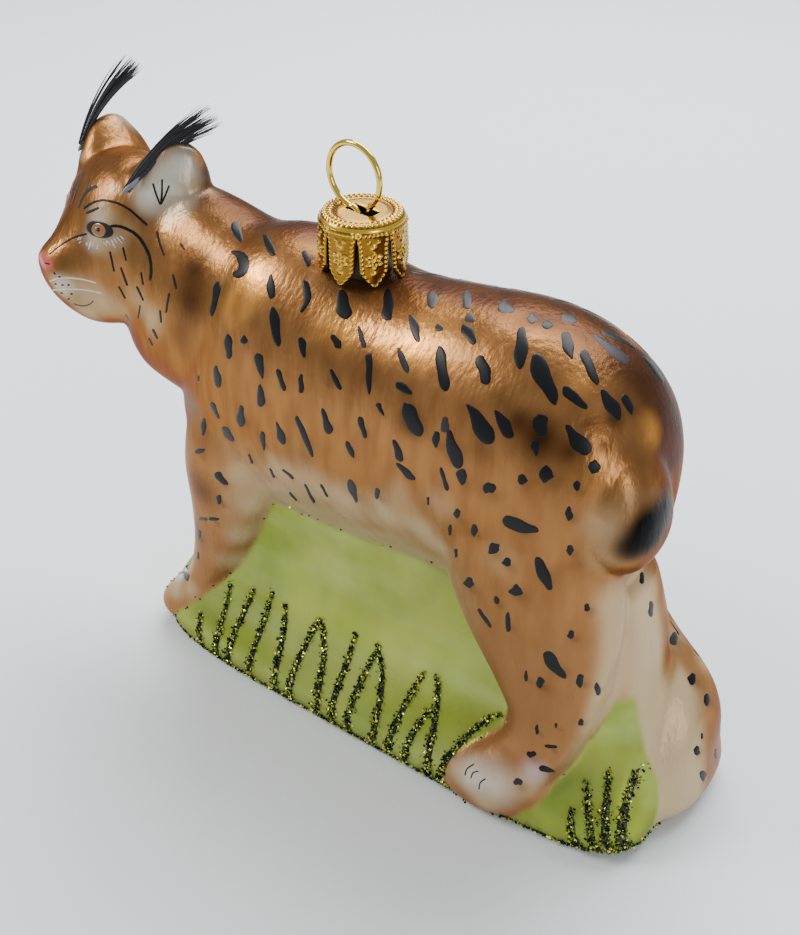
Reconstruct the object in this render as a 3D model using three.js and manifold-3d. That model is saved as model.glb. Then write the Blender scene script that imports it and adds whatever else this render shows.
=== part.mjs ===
// A blown-glass lynx ornament that stands on a strip of grass, with a metal hanging cap.
// Millimetres, +Z up, origin at the middle of the foot of the base.
// The animal faces -Y and its left side is +X. Its head is turned to the left.
import * as THREE from 'three';
import { mergeVertices } from 'three/addons/utils/BufferGeometryUtils.js';
import Module from 'manifold-3d';

const wasm = await Module();
wasm.setup();

const gap = 0.3;

// Trunk: upright sections across Y, each with its ridge, belly and half width.
const trunkShape = {
  steps: 26,
  sides: 32,
  power: 2.25,
  rows: [
    { y: -48.6, ridge: 57, belly: 43, half: 4.5 },
    { y: -46.8, ridge: 66, belly: 38.5, half: 9.5 },
    { y: -42.4, ridge: 76, belly: 36.4, half: 13.6 },
    { y: -34, ridge: 88.6, belly: 35.6, half: 16 },
    { y: -24, ridge: 91, belly: 35.6, half: 17 },
    { y: -14, ridge: 89.4, belly: 36.4, half: 17.4 },
    { y: -4, ridge: 87.9, belly: 37.4, half: 17.4 },
    { y: 8, ridge: 89, belly: 38.6, half: 17.6 },
    { y: 19, ridge: 90.2, belly: 39.6, half: 18.2 },
    { y: 27.5, ridge: 89.2, belly: 39.6, half: 18.4 },
    { y: 35, ridge: 86, belly: 40, half: 17.4 },
    { y: 40.2, ridge: 81.4, belly: 46, half: 14.6 },
    { y: 43.6, ridge: 75.4, belly: 53, half: 10 },
    { y: 45.2, ridge: 69, belly: 57, half: 5 },
  ],
};

// Neck: tilted sections, each with its middle, half width, half height, turn and rise.
const neckShape = {
  steps: 12,
  sides: 32,
  power: 2.2,
  rows: [
    { x: 0, y: -27, z: 68.6, half: 15.2, tall: 20.4, turn: 0, rise: 8 },
    { x: 0.2, y: -38.4, z: 70, half: 14.2, tall: 19.8, turn: 4, rise: 20 },
    { x: 1, y: -48, z: 73, half: 12.8, tall: 19.8, turn: 14, rise: 26 },
    { x: 1.8, y: -55, z: 75.6, half: 12, tall: 17.4, turn: 28, rise: 24 },
    { x: 3.2, y: -61, z: 77.8, half: 10.4, tall: 13, turn: 44, rise: 20 },
  ],
};

// Head: sections along the line of sight, with the reach above and below the middle.
const head = { x: 2.4, y: -65.8, z: 79, turn: 66 };
const skullShape = {
  steps: 20,
  sides: 28,
  power: 2.2,
  rows: [
    { along: -12, half: 9.6, top: 9, low: 8 },
    { along: -9, half: 13.4, top: 13.6, low: 12 },
    { along: -4, half: 15.6, top: 15.8, low: 14.6 },
    { along: 1, half: 15.2, top: 15.4, low: 15.2 },
    { along: 5.5, half: 12.6, top: 12, low: 15 },
    { along: 9, half: 9, top: 6.8, low: 14 },
    { along: 12, half: 6.4, top: 3.4, low: 11.4 },
    { along: 14.4, half: 4.6, top: 1.6, low: 8 },
    { along: 15.8, half: 2.6, top: 0.2, low: 4.6 },
  ],
};

// Ear: sections from its root to its tip, and the hollow scooped from its outer face.
const earShape = {
  steps: 9,
  sides: 18,
  power: 2,
  leanOut: 0.2,
  faceTurn: 60,
  rows: [
    { rise: -8, half: 6.4, deep: 5.4, shift: 0 },
    { rise: -4, half: 7.6, deep: 6.8, shift: 0 },
    { rise: 0, half: 8, deep: 6.8, shift: 0 },
    { rise: 4, half: 7.8, deep: 6, shift: 0.2 },
    { rise: 8, half: 6.6, deep: 4.6, shift: 0.6 },
    { rise: 11, half: 4.8, deep: 3, shift: 1.1 },
    { rise: 12.8, half: 3.2, deep: 2, shift: 1.5 },
    { rise: 13.8, half: 1.4, deep: 1.2, shift: 1.7 },
  ],
  cup: { rise: 4.4, out: 7.4, half: 5.4, tall: 8, deep: 3.4, steps: 8 },
};
const earRoots = {
  left: { along: -5.8, aside: 8.8, above: 7.4, leanBack: 0.16 },
  right: { along: -4.4, aside: 8.4, above: 6.8, leanBack: -0.1 },
};

// Ear tufts, placed on the head as along, aside and above its middle.
const tufts = {
  left: { root: [1.6, 11.2, 14], bend: [-5, 10.6, 20.6], tip: [-16, 12, 25] },
  right: { root: [2.6, -10.4, 14.8], bend: [-1.4, -12.4, 22], tip: [-10, -13, 27.4] },
};
const tuftShape = {
  locks: 7, steps: 5, sides: 4, wide: 0.62, thick: 0.36, fan: 4.2, spread: 0.6, phase: 2.4,
  rootWide: 0.55, swell: 1.3, thinning: 0.72,
};

// Legs: level sections, each with its front, back, inner and outer edge.
const legSteps = 14;
const legSides = 18;
const legPower = 2.3;
const foreLegRows = [
  { z: 2.6, front: -54.8, back: -43.5, inner: 6, outer: 17.6 },
  { z: 5, front: -55.6, back: -43, inner: 5.6, outer: 18 },
  { z: 8.6, front: -53.2, back: -41.4, inner: 5.4, outer: 17.4 },
  { z: 14, front: -48.6, back: -38.6, inner: 5, outer: 15.6 },
  { z: 24, front: -45.6, back: -33.4, inner: 4.6, outer: 16 },
  { z: 34, front: -45, back: -28.8, inner: 4, outer: 16.6 },
  { z: 44, front: -45.8, back: -24.4, inner: 3, outer: 16.8 },
  { z: 56, front: -44, back: -22, inner: 3, outer: 15.8 },
];
const leftHindRows = [
  { z: 1.2, front: 18.4, back: 35, inner: 9, outer: 21.6 },
  { z: 4, front: 18, back: 37, inner: 9, outer: 22.8 },
  { z: 8, front: 19.6, back: 39, inner: 8, outer: 22.4 },
  { z: 12, front: 24, back: 40, inner: 7, outer: 20.6 },
  { z: 16, front: 28, back: 41.6, inner: 6.4, outer: 18.4 },
  { z: 21, front: 28.6, back: 43, inner: 5.8, outer: 17 },
  { z: 28, front: 23.8, back: 44.6, inner: 4.6, outer: 17 },
  { z: 36, front: 18.6, back: 45.4, inner: 3.4, outer: 17.6 },
  { z: 46, front: 14, back: 45.4, inner: 2.4, outer: 18.4 },
  { z: 58, front: 11, back: 43.6, inner: 2.4, outer: 18.4 },
  { z: 68, front: 11, back: 41, inner: 2.4, outer: 15 },
  { z: 74, front: 13, back: 34, inner: 2.4, outer: 11 },
];
const rightHindRows = [
  { z: 1.2, front: 42, back: 59.2, inner: 0.6, outer: 17.2 },
  { z: 4, front: 42, back: 60.4, inner: 0.6, outer: 17.8 },
  { z: 9, front: 43, back: 59.4, inner: 0.6, outer: 17.2 },
  { z: 16, front: 44, back: 58, inner: 0.8, outer: 16 },
  { z: 22, front: 40, back: 55, inner: 1.2, outer: 15.6 },
  { z: 28, front: 34, back: 48, inner: 2, outer: 16 },
  { z: 34, front: 28, back: 42.6, inner: 2.4, outer: 16.8 },
  { z: 42, front: 21, back: 39.6, inner: 2.4, outer: 17.8 },
  { z: 58, front: 14, back: 39.6, inner: 2.4, outer: 18 },
  { z: 68, front: 14, back: 37, inner: 2.4, outer: 14.6 },
  { z: 74, front: 15, back: 31, inner: 2.4, outer: 11 },
];

// Tail: level sections of the short, thick stub that hangs from the rump.
const tailSteps = 10;
const tailRows = [
  { z: 56, front: 38, back: 44.6, inner: 2.4, outer: 9 },
  { z: 58, front: 36, back: 46.8, inner: -0.6, outer: 12.6 },
  { z: 62.6, front: 34.6, back: 48.2, inner: -2.6, outer: 14.8 },
  { z: 69, front: 33.2, back: 47.2, inner: -2.4, outer: 14 },
  { z: 76, front: 31, back: 43.2, inner: -1.6, outer: 11 },
  { z: 82.6, front: 28, back: 36, inner: 0, outer: 6 },
];

// Base: level sections of the grass strip, a rolled foot below a hollowed web.
const baseShape = {
  steps: 12,
  sides: 36,
  power: 5,
  rows: [
    { z: 0, half: 19.2, front: -53.2, back: 54 },
    { z: 1.8, half: 20.8, front: -54.8, back: 55.6 },
    { z: 5, half: 21, front: -55.2, back: 56 },
    { z: 9, half: 18.8, front: -53.8, back: 54.8 },
    { z: 14, half: 15, front: -51.4, back: 52.6 },
    { z: 21, half: 12, front: -48, back: 50.4 },
    { z: 29, half: 10.6, front: -45.6, back: 49 },
    { z: 38, half: 10.6, front: -44, back: 47.4 },
    { z: 48, half: 10.6, front: -42, back: 44 },
  ],
};

// Blades of grass on each side of the base: their foot along Y, and how they lean, bend and rise.
const bladeShape = { foot: 1.6, steps: 3, sides: 4, wide: 0.9, thick: 0.6, thinning: 0.7 };
const bladeRows = [
  { y: -39.8, lean: -1.2, bend: 0, top: 9 },
  { y: -35.2, lean: 0.6, bend: -1.8, top: 16 },
  { y: -31.8, lean: 0, bend: 1.6, top: 17.6 },
  { y: -26.2, lean: 0.8, bend: -0.5, top: 18.8 },
  { y: -19.2, lean: -0.6, bend: -2.4, top: 17.8 },
  { y: -15.4, lean: -2, bend: 3.4, top: 18 },
  { y: -9.2, lean: 2, bend: -6.4, top: 18.4 },
  { y: -5, lean: -2, bend: 1.8, top: 19 },
  { y: -1.4, lean: -1.8, bend: 3, top: 17.6 },
  { y: 4.2, lean: 2.4, bend: -6.8, top: 19 },
  { y: 8, lean: -0.6, bend: 3, top: 18.2 },
  { y: 11.6, lean: -0.4, bend: 2.4, top: 13 },
  { y: 17, lean: -1, bend: -3, top: 18.8 },
  { y: 19.4, lean: -1, bend: 8.2, top: 17.9 },
  { y: 46.8, lean: -2.8, bend: 0, top: 9 },
  { y: 50, lean: -4, bend: -1.2, top: 13 },
  { y: 52, lean: -4.4, bend: -0.2, top: 15.6 },
  { y: 54.4, lean: -6, bend: 3.2, top: 15.6 },
];

// Where the body is parted into its nodes.
const headCut = { along: -9.6, rise: 14, turn: 48 };
const neckCut = { y: -37, z: 72, rise: 24 };
const foreLegBox = { y: [-64, -20.5], z: [-1, 43.5], x: [0.2, 26] };
const hindLegBox = { y: [14, 64], z: [-1, 50.5], x: [0.2, 26] };
const tailBox = { y: [41, 60], z: [55, 75], x: [-6, 18] };

// Hanger: glass neck stub, petal cap and wire loop.
const hangerY = -11.4;
const stub = { radius: 4.7, bottom: 84, top: 96.2, rim: 0.5, wall: 1, depth: 4, sides: 28 };
const cap = {
  radius: 7, wall: 0.7, top: 98, crown: 1.1, softening: 0.3, tips: 87.6, waist: 0.25, waistAt: 95, sides: 32,
};
const petals = {
  count: 8, turn: 5.6, slitTop: 95.2, slitWidth: 0.5, slitFoot: 1, pointsFrom: 90.2, point: 1,
};
const loop = {
  radius: 5.3, wire: 0.45, rise: 5.3, turn: 85, sway: 18, opening: 20, foot: 0.9, pinch: 0.62,
  sides: 4, steps: 40, knots: 15,
};
const slot = { length: 5, width: 1.8, depth: 4 };
const spare = 1; // how far a cutting shape reaches past what it cuts

// Smooth rows: a curve through each named size of the rows, read at even steps.
const curve = (a, b, c, d, t) => {
  const even = 2 * b + (c - a) * t;
  const bend = (2 * a - 5 * b + 4 * c - d) * t * t;
  const twist = (3 * b - a - 3 * c + d) * t * t * t;
  return (even + bend + twist) / 2;
};

const smoothRows = (rows, steps) => {
  const last = rows.length - 1;
  const pick = (n) => rows[Math.max(0, Math.min(last, n))];
  return Array.from({ length: steps + 1 }, (_, i) => {
    const place = (i / steps) * last;
    const k = Math.min(Math.floor(place), last - 1);
    const near = [pick(k - 1), pick(k), pick(k + 1), pick(k + 2)];
    const read = (key) => [key, curve(...near.map((row) => row[key]), place - k)];
    return Object.fromEntries(Object.keys(rows[0]).map(read));
  });
};

// One ring of points round a section, as a superellipse of the given power.
const ring = (sides, power, place) => Array.from({ length: sides }, (_, i) => {
  const angle = (i / sides) * 2 * Math.PI;
  const round = (value) => Math.sign(value) * Math.abs(value) ** (2 / power);
  return place(round(Math.cos(angle)), round(Math.sin(angle)));
});

const solidOf = (geometry) => {
  const bare = geometry.index ? geometry.toNonIndexed() : geometry.clone();
  bare.deleteAttribute('normal');
  bare.deleteAttribute('uv');
  const merged = mergeVertices(bare, 1e-4);
  const corners = Array.from(merged.index.array);
  const triVerts = [];
  for (let i = 0; i < corners.length; i += 3) {
    const [a, b, c] = corners.slice(i, i + 3);
    if (a !== b && b !== c && c !== a) triVerts.push(a, b, c);
  }
  return new wasm.Manifold(new wasm.Mesh({
    numProp: 3,
    vertProperties: new Float32Array(merged.attributes.position.array),
    triVerts: new Uint32Array(triVerts),
  }));
};

// A closed skin over rings: a band between each pair and a fan over each end.
const skin = (rings) => {
  const count = rings[0].length;
  const points = rings.flat();
  const middle = (loopOfPoints) => {
    const sum = loopOfPoints.reduce((total, point) => total.add(point), new THREE.Vector3());
    return sum.divideScalar(count);
  };
  const startPole = points.length;
  points.push(middle(rings[0]));
  const endPole = points.length;
  points.push(middle(rings[rings.length - 1]));
  const faces = [];
  for (let r = 0; r < rings.length - 1; r += 1) {
    for (let i = 0; i < count; i += 1) {
      const next = (i + 1) % count;
      const a = r * count + i;
      const b = r * count + next;
      const c = (r + 1) * count + next;
      const d = (r + 1) * count + i;
      faces.push(a, b, c, a, c, d);
    }
  }
  const top = (rings.length - 1) * count;
  for (let i = 0; i < count; i += 1) {
    const next = (i + 1) % count;
    faces.push(startPole, next, i, endPole, top + i, top + next);
  }
  let volume = 0;
  for (let i = 0; i < faces.length; i += 3) {
    const [a, b, c] = faces.slice(i, i + 3).map((n) => points[n]);
    volume += a.dot(b.clone().cross(c));
  }
  if (volume < 0) faces.reverse();
  const geometry = new THREE.BufferGeometry().setFromPoints(points);
  geometry.setIndex(faces);
  return solidOf(geometry);
};

const geometryOf = (solid) => {
  const mesh = solid.getMesh();
  const geometry = new THREE.BufferGeometry();
  geometry.setAttribute('position', new THREE.BufferAttribute(new Float32Array(mesh.vertProperties), 3));
  geometry.setIndex(Array.from(mesh.triVerts));
  geometry.computeVertexNormals();
  return geometry;
};

const fuse = (solids) => solids.reduce((whole, solid) => whole.add(solid));

const largest = (solid) => solid.decompose().reduce((best, piece) => (
  piece.volume() > best.volume() ? piece : best
));

const boxSolid = ({ x, y, z }, side = 1, grow = 0) => {
  const reach = (pair) => pair[1] - pair[0] + 2 * grow;
  const box = new THREE.BoxGeometry(reach(x), reach(y), reach(z));
  box.translate((side * (x[0] + x[1])) / 2, (y[0] + y[1]) / 2, (z[0] + z[1]) / 2);
  return solidOf(box);
};

// The forms of the animal, each of which can be made larger all round by grow.
const trunk = (grow = 0) => {
  const { rows, steps, sides, power } = trunkShape;
  return skin(smoothRows(rows, steps).map(({ y, ridge, belly, half }, i) => {
    const middle = (ridge + belly) / 2;
    const tall = (ridge - belly) / 2 + grow;
    const end = i === 0 ? -grow : i === steps ? grow : 0;
    return ring(sides, power, (c, s) => new THREE.Vector3((half + grow) * c, y + end, middle + tall * s));
  }));
};

const neck = (grow = 0) => {
  const { rows, steps, sides, power } = neckShape;
  return skin(smoothRows(rows, steps).map(({ x, y, z, half, tall, turn, rise }) => {
    const yaw = THREE.MathUtils.degToRad(turn);
    const pitch = THREE.MathUtils.degToRad(rise);
    const side = new THREE.Vector3(Math.cos(yaw), Math.sin(yaw), 0);
    const up = new THREE.Vector3(
      -Math.sin(yaw) * Math.sin(pitch),
      Math.cos(yaw) * Math.sin(pitch),
      Math.cos(pitch),
    );
    return ring(sides, power, (c, s) => new THREE.Vector3(x, y, z)
      .addScaledVector(side, (half + grow) * c)
      .addScaledVector(up, (tall + grow) * s));
  }));
};

const headTurn = THREE.MathUtils.degToRad(head.turn);
const headMiddle = new THREE.Vector3(head.x, head.y, head.z);
const forward = new THREE.Vector3(Math.sin(headTurn), -Math.cos(headTurn), 0);
const leftward = new THREE.Vector3(Math.cos(headTurn), Math.sin(headTurn), 0);
const upward = new THREE.Vector3(0, 0, 1);

const onHead = (along, aside, above) => headMiddle.clone()
  .addScaledVector(forward, along)
  .addScaledVector(leftward, aside)
  .addScaledVector(upward, above);

const skull = (grow = 0) => {
  const { rows, steps, sides, power } = skullShape;
  return skin(smoothRows(rows, steps).map(({ along, half, top, low }, i) => {
    const end = i === 0 ? -grow : i === steps ? grow : 0;
    const middle = (top - low) / 2;
    const tall = (top + low) / 2 + grow;
    return ring(sides, power, (c, s) => onHead(along + end, (half + grow) * c, middle + tall * s));
  }));
};

const levelForm = (rows, side, grow = 0, steps = legSteps) => (
  skin(smoothRows(rows, steps).map(({ z, front, back, inner, outer }, i) => {
    const end = i === 0 ? -grow : i === steps ? grow : 0;
    const x = (side * (inner + outer)) / 2;
    const wide = (outer - inner) / 2 + grow;
    const y = (front + back) / 2;
    const long = (back - front) / 2 + grow;
    return ring(legSides, legPower, (c, s) => new THREE.Vector3(x + wide * c, y + long * s, z + end));
  }))
);

const flesh = (grow = 0) => fuse([
  trunk(grow),
  neck(grow),
  skull(grow),
  levelForm(foreLegRows, 1, grow),
  levelForm(foreLegRows, -1, grow),
  levelForm(leftHindRows, 1, grow),
  levelForm(rightHindRows, -1, grow),
  levelForm(tailRows, 1, grow, tailSteps),
]);

// An ear stands on the side of the crown. Its own axes: up its lean, across, and out of its face.
const earAxes = (side, place) => {
  const face = THREE.MathUtils.degToRad(earShape.faceTurn);
  const lean = new THREE.Vector3()
    .addScaledVector(upward, 1)
    .addScaledVector(forward, -place.leanBack)
    .addScaledVector(leftward, side * earShape.leanOut)
    .normalize();
  const out = new THREE.Vector3()
    .addScaledVector(forward, Math.cos(face))
    .addScaledVector(leftward, side * Math.sin(face));
  out.addScaledVector(lean, -out.dot(lean)).normalize();
  const across = lean.clone().cross(out).multiplyScalar(side);
  const root = onHead(place.along, side * place.aside, place.above);
  return { lean, out, across, root };
};

const ear = (side, place, grow = 0) => {
  const { rows, steps, sides, power, cup } = earShape;
  const { lean, out, across, root } = earAxes(side, place);
  const at = (rise, acrossBy, outBy) => root.clone()
    .addScaledVector(lean, rise)
    .addScaledVector(across, acrossBy)
    .addScaledVector(out, outBy);
  const horn = skin(smoothRows(rows, steps).map(({ rise, half, deep, shift }, i) => {
    const end = i === 0 ? -grow : i === steps ? grow : 0;
    return ring(sides, power, (c, s) => at(rise + end, shift + (half + grow) * c, (deep + grow) * s));
  }));
  const scoop = skin(Array.from({ length: cup.steps }, (_, i) => {
    const angle = ((i + 0.5) / cup.steps) * Math.PI;
    const round = Math.sin(angle);
    const rise = cup.rise - (cup.tall - grow) * Math.cos(angle);
    const half = (cup.half - grow) * round;
    const deep = (cup.deep - grow) * round;
    return ring(sides, 2, (c, s) => at(rise, half * c, cup.out + deep * s));
  }));
  return horn.subtract(scoop);
};

// A tuft of bristles: flat tapered locks that share a root and fan out towards their tips.
const bezier = (a, b, c, t) => new THREE.Vector3()
  .addScaledVector(a, (1 - t) * (1 - t))
  .addScaledVector(b, 2 * t * (1 - t))
  .addScaledVector(c, t * t);

const tuft = ({ root, bend, tip }) => {
  const { locks, steps, sides, wide, thick, fan, spread, phase, rootWide, swell, thinning } = tuftShape;
  const start = onHead(...root);
  const knee = onHead(...bend);
  const end = onHead(...tip);
  const along = end.clone().sub(start).normalize();
  const across = along.clone().cross(leftward).normalize();
  const depth = across.clone().cross(along);
  return fuse(Array.from({ length: locks }, (_, n) => {
    const place = n / (locks - 1) - 0.5;
    const wave = Math.sin(n * phase);
    const reach = end.clone()
      .addScaledVector(across, fan * place)
      .addScaledVector(depth, spread * wave)
      .addScaledVector(along, -Math.abs(wave));
    return skin(Array.from({ length: steps + 1 }, (__, i) => {
      const t = i / steps;
      const middle = bezier(start, knee, reach, t);
      const belly = Math.sin(Math.PI * Math.min(1, t * swell));
      const taper = (rootWide + (1 - rootWide) * belly) * (1 - thinning * t ** 4);
      return ring(sides, 2, (c, s) => middle.clone()
        .addScaledVector(across, wide * taper * c)
        .addScaledVector(depth, thick * taper * s));
    }));
  }));
};

// The base: a rolled foot and a web that fills the space between the legs and the belly.
const strip = () => {
  const { rows, steps, sides, power } = baseShape;
  return skin(smoothRows(rows, steps).map(({ z, half, front, back }) => (
    ring(sides, power, (c, s) => new THREE.Vector3(half * c, (front + back) / 2 + ((back - front) / 2) * s, z))
  )));
};

// How far the side of the base stands out at a place along it and a height.
const sideOfBase = (y, z) => {
  const { rows, power } = baseShape;
  const k = Math.max(1, rows.findIndex((row) => row.z >= z));
  const share = (z - rows[k - 1].z) / (rows[k].z - rows[k - 1].z);
  const read = (key) => THREE.MathUtils.lerp(rows[k - 1][key], rows[k][key], share);
  const middle = (read('front') + read('back')) / 2;
  const reach = (read('back') - read('front')) / 2;
  const inset = Math.abs((y - middle) / reach) ** power;
  return read('half') * Math.max(0, 1 - inset) ** (1 / power);
};

// Blades of grass raised on both sides of the base, each leaning and bending on its way up.
const blade = (side, { y, lean, bend, top }) => {
  const { foot, steps, sides, wide, thick, thinning } = bladeShape;
  return skin(Array.from({ length: steps + 1 }, (_, i) => {
    const t = i / steps;
    const z = foot + (top - foot) * t;
    const along = y + lean * t + bend * t * t;
    const x = side * sideOfBase(along, z);
    const taper = 1 - thinning * t * t;
    return ring(sides, 2, (c, s) => new THREE.Vector3(x + side * thick * s, along + wide * taper * c, z));
  }));
};

// The metal cap: a crown with a slotted top over petals that end in points.
const aboutHanger = new THREE.Matrix4().makeTranslation(0, hangerY, 0);

const turned = (profile, sides) => {
  const lathe = new THREE.LatheGeometry(profile.map(([r, z]) => new THREE.Vector2(r, z)), sides);
  lathe.rotateX(Math.PI / 2);
  lathe.applyMatrix4(aboutHanger);
  return solidOf(lathe);
};

const extruded = (outline, depth) => {
  const shape = new THREE.Shape(outline.map(([x, y]) => new THREE.Vector2(x, y)));
  return new THREE.ExtrudeGeometry(shape, { depth, bevelEnabled: false });
};

const hangerCap = () => {
  const { radius, wall, top, crown, softening, tips, waist, waistAt, sides } = cap;
  const shell = (inset, foot) => turned([
    [0, foot],
    [radius + waist - inset, foot],
    [radius + waist - inset, tips],
    [radius - waist - inset, waistAt],
    [radius - inset, top - crown],
    [radius - softening * crown - inset, top - softening * crown - inset / 2],
    [radius - crown - inset, top - inset],
    [0, top - inset],
  ], sides);
  const step = (2 * Math.PI) / petals.count;
  const halfPetal = radius * Math.tan(step / 2);
  const side = [
    [petals.slitWidth / 2, petals.slitTop - petals.slitWidth],
    [petals.slitFoot / 2, petals.pointsFrom],
    [halfPetal, tips - petals.point],
  ];
  const mirrored = side.map(([x, z]) => [-x, z]);
  const outline = [[0, petals.slitTop], ...mirrored, ...side.reverse()];
  const notch = extruded(outline, 2 * (wall + spare));
  notch.rotateX(Math.PI / 2);
  notch.translate(0, radius + wall + spare, 0);
  const notches = Array.from({ length: petals.count }, (_, n) => {
    const copy = notch.clone();
    copy.rotateZ((n + 0.5) * step + THREE.MathUtils.degToRad(petals.turn) - Math.PI / 2);
    copy.applyMatrix4(aboutHanger);
    return solidOf(copy);
  });
  return shell(0, tips - spare / 2)
    .subtract(shell(wall, tips - 2 * spare))
    .subtract(fuse(notches))
    .subtract(slotSolid())
    .subtract(hangerLoop(gap))
    .subtract(trunk(gap));
};

// The slot in the crown that the wire's two ends spring into.
const slotSolid = () => {
  const box = new THREE.BoxGeometry(slot.length, slot.width, slot.depth);
  box.rotateZ(THREE.MathUtils.degToRad(loop.turn));
  box.translate(0, hangerY, cap.top);
  return solidOf(box);
};

// The wire loop: most of a circle, whose ends run down side by side into the slot.
const hangerLoop = (grow = 0) => {
  const { radius, wire, rise, turn, sway, opening, foot, pinch, sides, steps, knots } = loop;
  const open = THREE.MathUtils.degToRad(opening);
  const arc = Array.from({ length: knots }, (_, i) => {
    const angle = -Math.PI / 2 + open + (i / (knots - 1)) * 2 * (Math.PI - open);
    return [radius * Math.cos(angle), rise + radius * Math.sin(angle)];
  });
  const end = [arc[0][0] * pinch, -foot];
  const swing = new THREE.Matrix4().makeRotationY(THREE.MathUtils.degToRad(-sway));
  const place = new THREE.Matrix4().makeTranslation(0, hangerY, cap.top)
    .multiply(new THREE.Matrix4().makeRotationZ(THREE.MathUtils.degToRad(turn)))
    .multiply(swing);
  const points = [end, ...arc, [-end[0], end[1]]]
    .map(([x, z]) => new THREE.Vector3(x, 0, z).applyMatrix4(place));
  const section = new THREE.Shape();
  section.absarc(0, 0, wire + grow, 0, 2 * Math.PI);
  const path = new THREE.CatmullRomCurve3(points);
  return solidOf(new THREE.ExtrudeGeometry(section, { steps, curveSegments: sides, extrudePath: path }));
};

// The body is made whole and then parted by flat cuts, with a gap at each.
const slope = (degrees, turn = 0) => new THREE.Vector3(0, -1, 0)
  .applyAxisAngle(new THREE.Vector3(1, 0, 0), -THREE.MathUtils.degToRad(degrees))
  .applyAxisAngle(upward, THREE.MathUtils.degToRad(turn));

const part = (solid, normal, point) => {
  const offset = normal.dot(point);
  const ahead = solid.trimByPlane(normal.toArray(), offset + gap / 2);
  const behind = solid.trimByPlane(normal.clone().negate().toArray(), gap / 2 - offset);
  return [ahead, behind];
};

const headNormal = slope(headCut.rise, headCut.turn);
const neckNormal = slope(neckCut.rise);
const whole = flesh();
const [headSolid, headless] = part(whole, headNormal, onHead(headCut.along, 0, 0));
const [neckSolid, rump] = part(headless, neckNormal, new THREE.Vector3(0, neckCut.y, neckCut.z));

const limbs = {
  leg_front_left: [foreLegBox, 1],
  leg_front_right: [foreLegBox, -1],
  leg_hind_left: [hindLegBox, 1],
  leg_hind_right: [hindLegBox, -1],
  tail: [tailBox, 1],
};
const limbSolids = {};
let trunkSolid = rump;
for (const [name, [box, side]] of Object.entries(limbs)) {
  limbSolids[name] = trunkSolid.intersect(boxSolid(box, side));
  trunkSolid = trunkSolid.subtract(boxSolid(box, side, gap));
}

const grown = flesh(gap);
const sideNames = [['left', 1], ['right', -1]];
const blades = sideNames.flatMap(([, side]) => bladeRows.map((row) => blade(side, row)));
const base = fuse([strip(), ...blades]).subtract(grown);

const stubSolid = turned([
  [0, stub.bottom],
  [stub.radius, stub.bottom],
  [stub.radius, stub.top - 2 * stub.rim],
  [stub.radius + stub.rim, stub.top - stub.rim],
  [stub.radius + stub.rim, stub.top],
  [stub.radius - stub.wall, stub.top],
  [stub.radius - stub.wall, stub.top - stub.depth],
  [0, stub.top - stub.depth],
], stub.sides).subtract(trunk(gap));

const finish = {
  bronze: { color: 0xb9742f, roughness: 0.35, metalness: 0.75 },
  cream: { color: 0xe3cdb0, roughness: 0.35, metalness: 0.3 },
  grass: { color: 0x9db04a, roughness: 0.3, metalness: 0.5 },
  gold: { color: 0xd9b24a, roughness: 0.25, metalness: 1 },
  silver: { color: 0xc9ccd0, roughness: 0.15, metalness: 0.9 },
  black: { color: 0x141416, roughness: 0.6, metalness: 0 },
};

const lynx = new THREE.Group();
const add = (name, solid, look) => {
  const mesh = new THREE.Mesh(geometryOf(largest(solid)), new THREE.MeshStandardMaterial(finish[look]));
  mesh.name = name;
  lynx.add(mesh);
};

add('head', headSolid, 'bronze');
add('neck', neckSolid, 'bronze');
add('torso', trunkSolid, 'bronze');
for (const [name, solid] of Object.entries(limbSolids)) add(name, solid, 'bronze');
for (const [name, side] of sideNames) {
  const root = earRoots[name];
  add(`ear_${name}`, ear(side, root).subtract(grown), 'cream');
  add(`ear_tuft_${name}`, tuft(tufts[name]).subtract(ear(side, root, gap)).subtract(grown), 'black');
}
add('grass_base', base, 'grass');
add('glass_neck', stubSolid, 'silver');
add('hanger_cap', hangerCap(), 'gold');
add('hanger_loop', hangerLoop(), 'gold');

export default lynx;
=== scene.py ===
import math

import bpy
import numpy as np
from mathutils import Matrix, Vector
from mathutils.bvhtree import BVHTree


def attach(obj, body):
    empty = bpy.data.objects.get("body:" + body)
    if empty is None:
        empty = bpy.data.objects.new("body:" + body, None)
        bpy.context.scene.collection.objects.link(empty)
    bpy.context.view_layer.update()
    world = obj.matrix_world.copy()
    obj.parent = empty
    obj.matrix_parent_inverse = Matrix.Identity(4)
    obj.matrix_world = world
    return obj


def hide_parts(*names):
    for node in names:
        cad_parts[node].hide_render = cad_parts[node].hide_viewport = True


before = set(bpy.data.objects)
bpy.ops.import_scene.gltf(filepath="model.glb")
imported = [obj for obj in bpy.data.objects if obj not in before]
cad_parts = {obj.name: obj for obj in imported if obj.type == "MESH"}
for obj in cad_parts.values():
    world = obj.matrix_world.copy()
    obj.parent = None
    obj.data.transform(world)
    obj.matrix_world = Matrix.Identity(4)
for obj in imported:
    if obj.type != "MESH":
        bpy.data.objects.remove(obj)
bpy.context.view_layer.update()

mm = 0.001
rng = np.random.default_rng(7)

# A blown-glass lynx ornament: the animal faces -Y, its left side is +X, its head is turned left.
# Every size below is in millimetres; meshes are written in metres.

camera = {
    "place": (141.4, 95.2, 177.7), "turn": 125.1, "pitch": 36.4,
    "focalPixels": 1200.0, "frame": (800, 935), "sensor": 36.0, "clip": (0.005, 20.0),
}


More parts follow.
